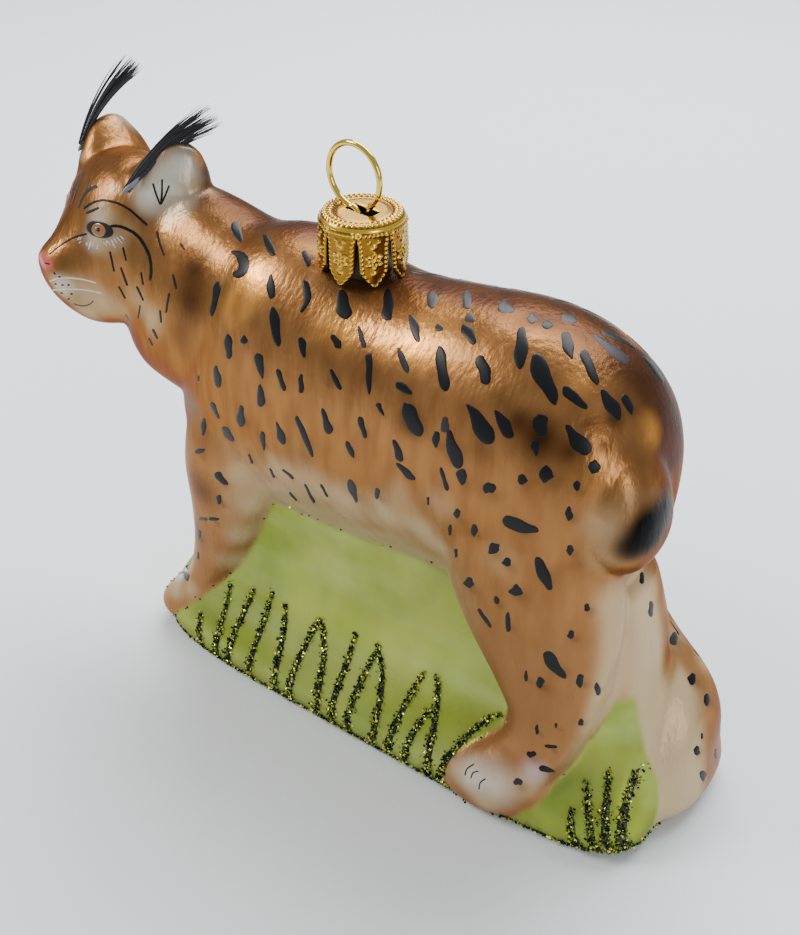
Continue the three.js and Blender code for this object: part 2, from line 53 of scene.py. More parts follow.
def backward():
    # from the aim back to the camera: (sin turn cos pitch, -cos turn cos pitch, sin pitch)
    turn, pitch = math.radians(camera["turn"]), math.radians(camera["pitch"])
    return np.array([math.sin(turn) * math.cos(pitch), -math.cos(turn) * math.cos(pitch), math.sin(pitch)])


def buildCamera():
    # a lens of the focal length in pixels over the longer side, times the sensor
    data = bpy.data.cameras.new("camera")
    data.sensor_width = camera["sensor"]
    data.lens = camera["focalPixels"] / max(camera["frame"]) * camera["sensor"]
    data.clip_start, data.clip_end = camera["clip"]
    viewer = bpy.data.objects.new("camera", data)
    bpy.context.collection.objects.link(viewer)
    viewer.location = Vector(camera["place"]) * mm
    viewer.rotation_euler = Vector(-backward()).to_track_quat("-Z", "Y").to_euler()
    bpy.context.scene.camera = viewer


def viewRays(points):
    # rays through pixels of the 800 by 935 frame: forward plus right and down offsets over the focal length
    back = backward()
    right = np.cross(-back, [0, 0, 1])
    right /= np.linalg.norm(right)
    up = np.cross(right, -back)
    across = (points[:, 0] - camera["frame"][0] / 2) / camera["focalPixels"]
    down = (points[:, 1] - camera["frame"][1] / 2) / camera["focalPixels"]
    rays = -back + across[:, None] * right - down[:, None] * up
    return rays / np.linalg.norm(rays, axis=1, keepdims=True)


print("camera")
buildCamera()


def addMesh(name, points, faces, smooth=True):
    # points in millimetres become a mesh in metres, on an object at the origin
    mesh = bpy.data.meshes.new(name)
    mesh.from_pydata((np.asarray(points) * mm).tolist(), [], faces)
    mesh.validate()
    if smooth:
        mesh.polygons.foreach_set("use_smooth", np.ones(len(mesh.polygons), dtype=bool))
    piece = bpy.data.objects.new(name, mesh)
    bpy.context.collection.objects.link(piece)
    return piece


def keepValues(piece, name, values):
    # one number for each point, kept for the material
    layer = piece.data.attributes.new(name, "FLOAT", "POINT")
    layer.data.foreach_set("value", values)


def smoothRows(rows, steps):
    # a cubic through each column of the rows, its slope at a row half the step between its neighbours
    table = np.asarray(rows, float)
    last = len(table) - 1
    place = np.linspace(0, last, steps + 1)
    k = np.minimum(place.astype(int), last - 1)
    t = (place - k)[:, None]
    a, b, c, d = (table[np.clip(k + shift, 0, last)] for shift in (-1, 0, 1, 2))
    bend = 2 * b + (c - a) * t + (2 * a - 5 * b + 4 * c - d) * t ** 2 + (3 * b - a - 3 * c + d) * t ** 3
    return bend / 2


def around(sides, power):
    # unit superellipse: cosine and sine raised to 2 over the power, with their signs kept
    angle = np.arange(sides) / sides * 2 * math.pi
    c, s = np.cos(angle), np.sin(angle)
    return np.sign(c) * np.abs(c) ** (2 / power), np.sign(s) * np.abs(s) ** (2 / power)


def closedGrid(rings):
    # bands between neighbouring rings, and a fan from the middle of the first and of the last ring
    steps, sides, _ = rings.shape
    points = np.concatenate([rings.reshape(-1, 3), rings[:1].mean(axis=1), rings[-1:].mean(axis=1)])
    i, j = np.meshgrid(np.arange(steps - 1), np.arange(sides), indexing="ij")
    n = (j + 1) % sides
    bands = np.stack([i * sides + j, i * sides + n, (i + 1) * sides + n, (i + 1) * sides + j], -1)
    bands = bands.reshape(-1, 4)
    j, n = j[0], n[0]
    first, last, top = steps * sides, steps * sides + 1, (steps - 1) * sides
    foot = np.stack([np.full(sides, first), n, j], -1)
    fans = np.concatenate([foot, np.stack([np.full(sides, last), top + j, top + n], -1)])
    a, b, c = points[bands[:, 0]], points[bands[:, 1]], points[bands[:, 2]]
    if np.einsum("ij,ij->i", a, np.cross(b, c)).sum() < 0:
        bands, fans = bands[:, ::-1], fans[:, ::-1]
    return points, bands, fans


def addClosed(name, rings):
    # the closed grid over the rings, as a piece
    points, bands, fans = closedGrid(rings)
    return addMesh(name, points, bands.tolist() + fans.tolist())


trunkShape = {
    "steps": 110, "sides": 120, "power": 2.25,
    # y, ridge, belly, half width
    "rows": [
        (-48.6, 57, 43, 4.5), (-46.8, 66, 38.5, 9.5), (-42.4, 76, 36.4, 13.6), (-34, 88.6, 35.6, 16),
        (-24, 91, 35.6, 17), (-14, 89.4, 36.4, 17.4), (-4, 87.9, 37.4, 17.4), (8, 89, 38.6, 17.6),
        (19, 90.2, 39.6, 18.2), (27.5, 89.2, 39.6, 18.4), (35, 86, 40, 17.4), (40.2, 81.4, 46, 14.6),
        (43.6, 75.4, 53, 10), (45.2, 69, 57, 5),
    ],
}


def trunk():
    # upright superellipses across Y, between the belly line and the ridge line
    y, ridge, belly, half = smoothRows(trunkShape["rows"], trunkShape["steps"]).T[:, :, None]
    c, s = around(trunkShape["sides"], trunkShape["power"])
    return np.stack([half * c, y + 0 * c, (ridge + belly) / 2 + (ridge - belly) / 2 * s], -1)


neckShape = {
    "steps": 60, "sides": 100, "power": 2.2,
    # x, y, z of the middle, half width, half height, turn, rise
    "rows": [
        (0, -27, 68.6, 15.2, 20.4, 0, 8), (0.2, -38.4, 70, 14.2, 19.8, 4, 20),
        (1, -48, 73, 12.8, 19.8, 14, 26), (1.8, -55, 75.6, 12, 17.4, 28, 24),
        (3.2, -61, 77.8, 10.4, 13, 44, 20),
    ],
}


def neck():
    # superellipses on tilted planes along a curved middle line
    x, y, z, half, tall, turn, rise = smoothRows(neckShape["rows"], neckShape["steps"]).T[:, :, None]
    c, s = around(neckShape["sides"], neckShape["power"])
    turn, rise = np.radians(turn), np.radians(rise)
    side = np.stack([np.cos(turn), np.sin(turn), 0 * turn], -1)
    up = np.stack([-np.sin(turn) * np.sin(rise), np.cos(turn) * np.sin(rise), np.cos(rise)], -1)
    middle = np.stack([x, y, z], -1)
    return middle + side * (half * c)[..., None] + up * (tall * s)[..., None]


head = {"middle": (2.4, -65.8, 79.0), "turn": 66.0}
headTurn = math.radians(head["turn"])
forward = np.array([math.sin(headTurn), -math.cos(headTurn), 0])
leftward = np.array([math.cos(headTurn), math.sin(headTurn), 0])
upward = np.array([0, 0, 1.0])


def onHead(along, aside, above):
    # the head's middle plus so much forward, leftward and upward
    parts = zip((along, aside, above), (forward, leftward, upward))
    return np.array(head["middle"]) + sum(np.asarray(size)[..., None] * axis for size, axis in parts)


skullShape = {
    "steps": 90, "sides": 110, "power": 2.2,
    # along, half width, top, low
    "rows": [
        (-12, 9.6, 9, 8), (-9, 13.4, 13.6, 12), (-4, 15.6, 15.8, 14.6), (1, 15.2, 15.4, 15.2),
        (5.5, 12.6, 12, 15), (9, 9, 6.8, 14), (12, 6.4, 3.4, 11.4), (14.4, 4.6, 1.6, 8),
        (15.8, 2.6, 0.2, 4.6),
    ],
}


def skull():
    # superellipses across the line of sight, from the nape to the nose
    along, half, top, low = smoothRows(skullShape["rows"], skullShape["steps"]).T[:, :, None]
    c, s = around(skullShape["sides"], skullShape["power"])
    return onHead(along + 0 * c, half * c, (top - low) / 2 + (top + low) / 2 * s)


limbShape = {"steps": 80, "sides": 80, "power": 2.3}
# z, front, back, inner, outer of each level section
foreLegRows = [
    (2.6, -54.8, -43.5, 6, 17.6), (5, -55.6, -43, 5.6, 18), (8.6, -53.2, -41.4, 5.4, 17.4),
    (14, -48.6, -38.6, 5, 15.6), (24, -45.6, -33.4, 4.6, 16), (34, -45, -28.8, 4, 16.6),
    (44, -45.8, -24.4, 3, 16.8), (56, -44, -22, 3, 15.8),
]
leftHindRows = [
    (1.2, 18.4, 35, 9, 21.6), (4, 18, 37, 9, 22.8), (8, 19.6, 39, 8, 22.4), (12, 24, 40, 7, 20.6),
    (16, 28, 41.6, 6.4, 18.4), (21, 28, 43, 5.8, 17), (28, 23.8, 44.6, 4.6, 17), (36, 18.6, 45.4, 3.4, 17.6),
    (46, 14, 45.4, 2.4, 18.4), (58, 11, 43.6, 2.4, 18.4), (68, 11, 41, 2.4, 15), (74, 13, 34, 2.4, 11),
]
rightHindRows = [
    (1.2, 42, 59, -8, 17.2), (4, 42, 60.6, -8.4, 18), (9, 43, 59.6, -7, 17.4), (16, 44, 58.6, -3.4, 16),
    (22, 40, 55.4, 0, 15.6), (28, 34, 48.4, 2, 16), (34, 28, 43, 2.4, 16.8), (42, 21, 40, 2.4, 17.8),
    (58, 14, 40, 2.4, 18), (68, 14, 37, 2.4, 14.6), (74, 15, 31, 2.4, 11),
]
tailRows = [
    (56, 38, 44.6, 2.4, 9), (58, 36, 46.8, -0.6, 12.6), (62.6, 34.6, 48.2, -2.6, 14.8),
    (69, 33.2, 47.2, -2.4, 14), (76, 31, 43.2, -1.6, 11), (82.6, 28, 36, 0, 6),
]


def limb(rows, side):
    # level superellipses stacked in Z, between front and back and between inner and outer edge
    z, front, back, inner, outer = smoothRows(rows, limbShape["steps"]).T[:, :, None]
    c, s = around(limbShape["sides"], limbShape["power"])
    x = side * (inner + outer) / 2 + (outer - inner) / 2 * c
    return np.stack([x, (front + back) / 2 + (back - front) / 2 * s, z + 0 * c], -1)


earShape = {
    "steps": 50, "sides": 60, "leanOut": 0.2, "faceTurn": 60.0,
    # rise, half width, half depth, shift back
    "rows": [
        (-8, 6.4, 5.4, 0), (-4, 7.6, 6.8, 0), (0, 8, 6.8, 0), (4, 7.8, 6, 0.2), (8, 6.6, 4.6, 0.6),
        (11, 4.8, 3, 1.1), (12.8, 3.2, 2, 1.5), (13.8, 1.4, 1.2, 1.7),
    ],
    "cup": {"rise": 4.4, "out": 7.4, "half": 5.4, "tall": 8.0, "deep": 3.4},
    "roots": {1: (-5.8, 8.8, 7.4), -1: (-3.6, 8.4, 5.6)}, "leanBack": {1: 0.16, -1: -0.1},
    "widen": {1: 1.0, -1: 1.14},
}


def earAxes(side):
    # the ear's root and its axes: up its lean, across it, and out of its cup, square to each other
    face = math.radians(earShape["faceTurn"])
    lean = upward - forward * earShape["leanBack"][side] + leftward * side * earShape["leanOut"]
    lean /= np.linalg.norm(lean)
    out = forward * math.cos(face) + leftward * side * math.sin(face)
    out -= lean * (out @ lean)
    out /= np.linalg.norm(out)
    along, aside, above = earShape["roots"][side]
    return onHead(along, side * aside, above), lean, np.cross(lean, out) * side, out


def ear(side):
    # ellipses up the lean of the ear; inside the cup's outline they are pressed in by a rounded hollow
    rise, half, deep, shift = smoothRows(earShape["rows"], earShape["steps"]).T[:, :, None]
    half = half * earShape["widen"][side]
    c, s = around(earShape["sides"], 2)
    root, lean, across, out = earAxes(side)
    cup = earShape["cup"]
    outBy = deep * s
    acrossBy = half * c
    hollow = 1 - ((rise - cup["rise"]) / cup["tall"]) ** 2 - (acrossBy / cup["half"]) ** 2
    limit = cup["out"] - cup["deep"] * np.sqrt(np.clip(hollow, 0, 1))
    outBy = np.where(hollow > 0, np.minimum(outBy, limit), outBy)
    parts = (rise + 0 * c, lean), (shift + acrossBy, across), (outBy, out)
    return root + sum(size[..., None] * axis for size, axis in parts)


baseShape = {
    "steps": 110, "sides": 260, "power": 5,
    # z, half width, front, back
    "rows": [
        (0, 19.2, -53.2, 54), (1.8, 20.8, -54.8, 55.6), (5, 21, -55.2, 56), (9, 18.8, -53.8, 54.8),
        (14, 15, -51.4, 52.6), (21, 12, -48, 50.4), (29, 10.6, -45.6, 49), (38, 10.6, -44, 47.4),
        (48, 10.6, -42, 44),
    ],
}


def grassStrip():
    # level superellipses from the flat foot, over the rolled edge, up the hollowed web
    z, half, front, back = smoothRows(baseShape["rows"], baseShape["steps"]).T[:, :, None]
    c, s = around(baseShape["sides"], baseShape["power"])
    return np.stack([half * c, (front + back) / 2 + (back - front) / 2 * s, z + 0 * c], -1)


skinShape = {
    "voxel": 0.66, "smoothings": 14, "pull": 0.5, "backShare": 0.94,
    # x, y, z, reach and rounds
    "softSpots": [
        (8.5, -52, 80, 13, 50), (-3.7, -79.5, 79, 14, 50), (6, -36, 83, 14, 50), (-6, -36, 83, 14, 50),
        (0, 55, 12, 15, 34), (4, 47, 29, 12, 34), (0, 40, 52, 10, 25),
    ],
}


def meshArrays(mesh):
    # points in millimetres, edges as pairs and faces as fours
    points = np.empty(len(mesh.vertices) * 3)
    mesh.vertices.foreach_get("co", points)
    edges = np.empty(len(mesh.edges) * 2, int)
    mesh.edges.foreach_get("vertices", edges)
    corners = np.empty(len(mesh.loops), int)
    mesh.loops.foreach_get("vertex_index", corners)
    return points.reshape(-1, 3) / mm, edges.reshape(-1, 2), corners.reshape(-1, 4)


def relax(points, edges, rounds, share, back=-skinShape["backShare"]):
    # each point moves a share of the way to the mean of its neighbours, out and back to hold the volume
    count = np.bincount(edges.ravel(), minlength=len(points))[:, None]
    ends = np.concatenate([edges, edges[:, ::-1]])
    for turn in range(2 * rounds):
        sums = [np.bincount(ends[:, 0], points[ends[:, 1], k], len(points)) for k in range(3)]
        step = share if turn % 2 == 0 else share * back
        points = points + (np.stack(sums, -1) / count - points) * step
    return points


def fused(name, grids, voxel):
    # closed grids are joined and remeshed as one closed skin
    points, faces, start = [], [], 0
    for rings in grids:
        gridPoints, bands, fans = closedGrid(rings)
        points.append(gridPoints)
        faces += (bands + start).tolist() + (fans + start).tolist()
        start += len(gridPoints)
    piece = addMesh(name, np.concatenate(points), faces)
    remesh = piece.modifiers.new("remesh", "REMESH")
    remesh.mode = "VOXEL"
    remesh.voxel_size = voxel * mm
    whole = bpy.data.meshes.new_from_object(piece.evaluated_get(bpy.context.evaluated_depsgraph_get()))
    piece.modifiers.clear()
    piece.data = whole
    whole.name = name
    return piece


print("skin")
fleshGrids = [
    trunk(), neck(), skull(), limb(foreLegRows, 1), limb(foreLegRows, -1),
    limb(leftHindRows, 1), limb(rightHindRows, -1), limb(tailRows, 1), ear(1), ear(-1),
]
skin = fused("painted_glass", fleshGrids + [grassStrip()], skinShape["voxel"])
skinPoints, skinEdges, skinFaces = meshArrays(skin.data)
skinPoints = relax(skinPoints, skinEdges, skinShape["smoothings"], skinShape["pull"])
for *spot, reach, rounds in skinShape["softSpots"]:
    # plain smoothing inside a soft ball fills the folds of the neck
    distance = np.linalg.norm(skinPoints - spot, axis=1)
    share = np.clip(1 - (distance / reach) ** 2, 0, 1)[:, None] * skinShape["pull"]
    skinPoints = relax(skinPoints, skinEdges, rounds, share, 1)
skin.data.vertices.foreach_set("co", (skinPoints * mm).ravel())
skin.data.update()
skin.data.polygons.foreach_set("use_smooth", np.ones(len(skin.data.polygons), dtype=bool))
skinNormals = np.empty(len(skinPoints) * 3)
skin.data.vertices.foreach_get("normal", skinNormals)
skinNormals = skinNormals.reshape(-1, 3)
skinTree = BVHTree.FromPolygons(skinPoints.tolist(), skinFaces.tolist())
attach(skin, "root")
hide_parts("head", "neck", "torso", "tail", "leg_front_left", "leg_front_right", "leg_hind_left",
            "leg_hind_right", "ear_left", "ear_right", "grass_base")
print("skin faces", len(skinFaces))


def linear(red, green, blue):
    # screen colour to scene colour: c / 12.92 near black, ((c + 0.055) / 1.055)^2.4 above
    c = np.array([red, green, blue]) / 255
    return np.where(c <= 0.04045, c / 12.92, ((c + 0.055) / 1.055) ** 2.4)


# umber and smoke serve as dark paint and also as painted shade, gold only as painted highlights, the pale
# grass green also as a painted sheen, and umber also for the painted reflections of the marks in the
# silvering
paint = {
    "bronze": linear(158, 110, 64), "tan": linear(160, 112, 68), "cream": linear(194, 170, 130),
    "mauve": linear(70, 44, 28), "umber": linear(46, 22, 8), "grass": linear(148, 164, 60),
    "olive": linear(112, 122, 46), "pink": linear(206, 96, 88), "white": linear(208, 202, 186),
    "black": linear(5, 5, 5), "smoke": linear(112, 92, 68), "gold": linear(244, 170, 84),
    "lilac": linear(196, 180, 196), "paleGrassAndSheen": linear(182, 188, 98),
}
metal = {
    "bronze": 0.82, "tan": 0.45, "cream": 0.2, "mauve": 0.6, "umber": 0.5, "grass": 0.45, "olive": 0.4,
    "pink": 0.05, "white": 0.05, "black": 0.1, "smoke": 0.2, "gold": 0.85, "lilac": 0.1, "paleGrassAndSheen": 0.3,
}


def ramp(value, low, high):
    # smooth step from 0 at low to 1 at high
    t = np.clip((value - low) / (high - low), 0, 1)
    return t * t * (3 - 2 * t)


def castView(pixels):
    # where the view rays through the pixels meet the skin, with the normals there; a miss is nan
    start = Vector(camera["place"])
    hits = [skinTree.ray_cast(start, Vector(ray)) for ray in viewRays(np.asarray(pixels, float))]
    none = (math.nan,) * 3
    spots = np.array([hit[0][:] if hit[0] else none for hit in hits])
    return spots, np.array([hit[1][:] if hit[0] else none for hit in hits])


def onSkin(points):
    # the nearest places of the skin, with their normals
    hits = [skinTree.find_nearest(Vector(point)) for point in points]
    return np.array([hit[0][:] for hit in hits]), np.array([hit[1][:] for hit in hits])


# where the head and the hind legs begin, and how far back the far hind leg steps for each millimetre down
otherSide = {"headFront": -48, "headOver": 60, "hindFrom": 12, "hindUnder": 50, "stepBack": 0.42}


def mirrored(points):
    # across the face's own middle plane on the head, and across the body's elsewhere
    _, y, z = points.mean(axis=0)
    if y < otherSide["headFront"] and z > otherSide["headOver"]:
        aside = (points - np.array(head["middle"])) @ leftward
        return points - 2 * aside[:, None] * leftward
    flipped = points * [-1, 1, 1]
    if y > otherSide["hindFrom"] and z < otherSide["hindUnder"]:
        flipped[:, 1] += (otherSide["hindUnder"] - z) * otherSide["stepBack"]
    return flipped


def levelField(rows, side, power, points):
    # about how far a point lies outside the level sections, from |x/a|^p + |y/b|^p = 1
    table = np.asarray(rows, float)
    front, back, inner, outer = (np.interp(points[:, 2], table[:, 0], table[:, k]) for k in (1, 2, 3, 4))
    a, b = (outer - inner) / 2, (back - front) / 2
    u = np.abs(points[:, 0] - side * (inner + outer) / 2) / a
    v = np.abs(points[:, 1] - (front + back) / 2) / b
    over = np.clip(points[:, 2] - table[-1, 0], 0, None)
    return ((u ** power + v ** power) ** (1 / power) - 1) * np.minimum(a, b) + over


def trunkField(points):
    # the same for the trunk's upright sections, from |x/a|^p + |z/b|^p = 1
    table = np.asarray(trunkShape["rows"], float)
    ridge, belly, half = (np.interp(points[:, 1], table[:, 0], table[:, k]) for k in (1, 2, 3))
    tall = (ridge - belly) / 2
    u, v = np.abs(points[:, 0]) / half, np.abs(points[:, 2] - (ridge + belly) / 2) / tall
    power = trunkShape["power"]
    return ((u ** power + v ** power) ** (1 / power) - 1) * np.minimum(half, tall)


print("coat colours")
grassRows = [(z, front, back, -half, half) for z, half, front, back in baseShape["rows"]]
limbs = [(foreLegRows, 1), (foreLegRows, -1), (leftHindRows, 1), (rightHindRows, -1)]
limbFields = [levelField(rows, side, limbShape["power"], skinPoints) for rows, side in limbs]
fleshField = np.minimum.reduce(limbFields + [trunkField(skinPoints)])
baseField = levelField(grassRows, 1, baseShape["power"], skinPoints)
skinX, skinY, skinZ = skinPoints.T
outward = np.abs(skinX)
coatRules = {
    # where the grass colour begins and ends
    "grassEdge": (-0.1, 0.7), "grassTop": (46.0, 48.0), "rearWebTop": (27.0, 30.0), "rearFrom": (40.0, 44.0),
    "rearSide": (5.2, 6.8), "rearFlare": 3.0, "flareTop": (2, 12),
    "farWebFrom": (35, 39), "farWebOut": (2, 6), "farWebTop": (24, 32),
    # where the paints of the coat fade into each other
    "legFade": (36.0, 62.0), "legOut": (0, 2),
    "bellyFade": (42.0, 60.0), "bellySpan": (-36.0, -22.0, 12.0, 26.0), "bellyShare": 0.9,
    "chestSpan": (-60, -50, -34, -26), "chestTop": (36, 60), "chestFacing": (0.2, 0.8), "chestShare": 0.5,
    "rumpOut": (3, 9), "rumpTop": (44, 58), "rumpFrom": (40, 46),
    "farLegOut": (-8.5, -5.5), "farLegFrom": (46, 50), "farLegTop": (46, 60),
    "rearFacing": (0.5, 0.95), "rearFade": (38, 44), "rearTop": (50, 60), "rearShare": 0.8,
    "ridgeMiddle": -3, "ridgeHalf": (3.0, 12.0), "ridgeFoot": (62, 76), "ridgeFrom": (-60, -50),
    "ridgeShare": 0.9, "ridgeWave": 0.8,
    "edgeFacing": (0.3, 0.8), "edgeOut": (0, 5), "edgeFrom": (30, 36), "edgeTop": (50, 62),
    "edgeFoot": (6, 20), "edgeTan": 0.95, "edgeBronze": 0.5, "edgeWay": (-0.57, 0.82, 0.0),
}
# slow waves that make the borders of the paint uneven: direction and start of each
waveShape = {"long": ((0.9, 0, 0.37), 1.3), "cross": ((0, 0.53, -0.61), 0), "short": ((0.7, 1.31, 0.9), 0)}


def span(value, a, b, c, d):
    # up from 0 at a to 1 at b, down again from c to d
    return ramp(value, a, b) * (1 - ramp(value, c, d))


def between(value, key):
    # the smooth step of one of the coat's rules
    return ramp(value, *coatRules[key])


def waveOf(key):
    # sine of the place along a direction, plus a start
    way, start = waveShape[key]
    return np.sin(skinPoints @ way + start)


wave = waveOf("long") * waveOf("cross") + 0.5 * waveOf("short")
isGrass = between(fleshField - baseField, "grassEdge") * (1 - between(skinZ, "grassTop"))
atRear = between(skinY, "rearFrom")
isGrass *= 1 - atRear * between(skinZ, "rearWebTop")
isGrass *= 1 - between(skinY, "farWebFrom") * between(-skinX, "farWebOut") * between(skinZ, "farWebTop")
flare = coatRules["rearFlare"] * (1 - between(skinZ, "flareTop"))
isGrass *= 1 - atRear * (1 - between(skinX - flare, "rearSide"))
coat = np.tile(np.append(paint["bronze"], metal["bronze"]), (len(skinPoints), 1))


def lay(name, share):
    # a coat of paint over what is there, by share
    coat[:] = coat + (np.append(paint[name], metal[name]) - coat) * np.clip(share, 0, 1)[:, None]


lay("tan", (1 - between(skinZ + wave, "legFade")) * between(outward, "legOut"))
belly = (1 - between(skinZ + wave, "bellyFade")) * span(skinY, *coatRules["bellySpan"])
lay("cream", coatRules["bellyShare"] * belly)
chest = span(skinY, *coatRules["chestSpan"]) * (1 - between(skinZ, "chestTop"))
lay("cream", chest * between(-skinNormals[:, 1], "chestFacing") * coatRules["chestShare"])
lay("cream", (1 - between(outward, "rumpOut")) * (1 - between(skinZ, "rumpTop")) * between(skinY, "rumpFrom"))
lay("cream", between(skinX, "farLegOut") * between(skinY, "farLegFrom") * (1 - between(skinZ, "farLegTop")))
rear = between(skinNormals[:, 1], "rearFacing") * between(skinY, "rearFade") * (1 - between(skinZ, "rearTop"))
lay("cream", rear * coatRules["rearShare"])
ridgeLine = np.abs(skinX - coatRules["ridgeMiddle"]) + coatRules["ridgeWave"] * wave
ridgeTint = (1 - between(ridgeLine, "ridgeHalf")) * between(skinZ, "ridgeFoot") * between(skinY, "ridgeFrom")
lay("mauve", coatRules["ridgeShare"] * ridgeTint)
farEdge = between(skinNormals @ coatRules["edgeWay"], "edgeFacing") * between(-skinX, "edgeOut")
farEdge = farEdge * between(skinY, "edgeFrom") * (1 - between(skinZ, "edgeTop"))
lay("tan", farEdge * coatRules["edgeTan"])
lay("bronze", farEdge * between(skinZ, "edgeFoot") * coatRules["edgeBronze"])

# airbrushed and brushed paint, painted shade and painted highlights, as patches seen from the camera: pixel,
# radius in pixels, paint, share, softness
patches = [
    # painted shade in umber and smoke on the flank, the back, the neck's corner and the front leg, partly the
    # coat's own airbrushed dark paint such as the hip's swirls; mauve along the back and the rump; and
    # painted highlights in gold between them
    (196, 268, 27, "umber", 0.8, 1), (190, 302, 28, "umber", 0.85, 1), (182, 335, 22, "umber", 0.5, 1),
    (540, 438, 27, "umber", 1.0, 1), (518, 420, 18, "umber", 0.8, 1), (570, 452, 18, "umber", 0.8, 1),
    (614, 420, 14, "umber", 0.8, 1), (604, 446, 12, "umber", 0.8, 1), (410, 420, 22, "umber", 0.8, 1),
    (480, 450, 18, "umber", 0.5, 1), (590, 425, 12, "umber", 0.6, 1), (500, 400, 16, "umber", 0.5, 1),
    (372, 372, 18, "umber", 0.4, 1), (262, 350, 20, "umber", 0.3, 1), (330, 350, 18, "umber", 0.3, 1),
    (452, 450, 18, "umber", 0.45, 1), (485, 330, 16, "umber", 0.35, 1), (245, 420, 18, "umber", 0.25, 1),
    (400, 300, 16, "umber", 0.4, 1), (355, 300, 20, "umber", 0.5, 1), (470, 300, 22, "mauve", 0.6, 1),
    (530, 320, 22, "mauve", 0.6, 1), (590, 345, 22, "mauve", 0.6, 1), (640, 380, 22, "mauve", 0.6, 1),
    (664, 420, 20, "mauve", 0.7, 1), (670, 460, 18, "mauve", 0.7, 1), (664, 490, 12, "mauve", 0.6, 1),
    (248, 290, 26, "gold", 1.0, 1), (234, 308, 20, "gold", 0.8, 1), (340, 326, 28, "gold", 0.7, 1),
    (420, 340, 32, "gold", 0.7, 1), (385, 345, 20, "gold", 0.4, 1), (580, 385, 16, "gold", 0.4, 1),
    (650, 430, 20, "gold", 0.6, 1), (590, 480, 24, "gold", 0.25, 1),
    (192, 405, 20, "smoke", 0.7, 1), (205, 440, 24, "umber", 0.35, 1), (202, 490, 26, "umber", 0.6, 1),
    (196, 530, 18, "umber", 0.4, 1), (300, 460, 24, "smoke", 0.3, 1), (345, 276, 26, "mauve", 0.7, 1),
    (440, 288, 24, "mauve", 0.6, 1), (500, 300, 26, "mauve", 0.7, 1), (560, 320, 26, "mauve", 0.7, 1),
    (620, 352, 22, "mauve", 0.6, 1),
    # pale belly and inner sides of the front legs
    (280, 470, 22, "cream", 0.5, 1), (310, 482, 26, "cream", 0.6, 1),
    (345, 500, 28, "cream", 0.7, 1), (385, 512, 28, "cream", 0.7, 1), (420, 528, 26, "cream", 0.7, 1),
    (440, 548, 20, "cream", 0.6, 1), (440, 505, 24, "cream", 0.35, 1), (400, 495, 22, "cream", 0.35, 1),
    (245, 535, 20, "cream", 0.8, 1), (236, 560, 20, "cream", 0.8, 1), (256, 505, 18, "cream", 0.8, 1),
    (240, 475, 16, "cream", 0.4, 1),
    # hind legs and paws
    (560, 690, 22, "bronze", 0.5, 1), (530, 640, 16, "bronze", 0.5, 1), (545, 755, 12, "bronze", 0.5, 1),
    (500, 560, 24, "cream", 0.2, 1), (600, 560, 20, "cream", 0.3, 1),
    (612, 600, 20, "cream", 0.5, 1), (620, 650, 18, "cream", 0.6, 1), (606, 690, 16, "cream", 0.5, 1),
    (640, 600, 14, "cream", 0.5, 1), (590, 725, 14, "cream", 0.4, 1),
    (492, 785, 28, "white", 0.7, 1), (470, 775, 20, "white", 0.8, 1), (528, 785, 20, "cream", 0.6, 1),
    (456, 768, 14, "cream", 0.6, 1), (485, 803, 16, "cream", 0.7, 1), (535, 772, 15, "lilac", 0.5, 1),
    (183, 573, 11, "lilac", 0.9, 0.7), (177, 588, 12, "cream", 0.8, 1), (190, 590, 12, "cream", 0.6, 1),
    # forehead, muzzle, round the eye, ears and nose; the gold on the near ear's rim is a painted highlight
    (100, 175, 34, "mauve", 0.4, 1), (122, 160, 26, "mauve", 0.35, 1), (150, 235, 16, "bronze", 0.5, 1),
    (78, 292, 22, "cream", 0.6, 0.9), (62, 286, 13, "white", 0.7, 0.9), (100, 302, 20, "cream", 0.7, 1),
    (88, 312, 16, "cream", 0.6, 1), (122, 312, 16, "cream", 0.35, 1), (152, 320, 18, "cream", 0.6, 1),
    (138, 300, 16, "cream", 0.4, 1), (80, 300, 16, "smoke", 0.3, 1),
    (100, 214, 15, "cream", 0.6, 1), (98, 222, 16, "white", 0.5, 1), (112, 218, 12, "cream", 0.4, 1),
    (102, 243, 15, "cream", 0.6, 1), (92, 240, 13, "white", 0.5, 1), (116, 240, 12, "white", 0.35, 1),
    (128, 228, 12, "cream", 0.3, 1),
    (165, 188, 30, "white", 0.85, 1), (182, 168, 20, "white", 0.85, 1), (148, 198, 16, "white", 0.85, 1),
    (190, 186, 14, "cream", 0.6, 1), (172, 212, 18, "cream", 0.5, 1), (194, 205, 12, "cream", 0.15, 1),
    (84, 140, 7, "cream", 0.6, 1), (82, 156, 7, "cream", 0.6, 1),
    (200, 158, 8, "gold", 0.5, 1),
    (45, 262, 8, "pink", 0.9, 0.7), (50, 265, 5, "pink", 0.8, 0.8),
]
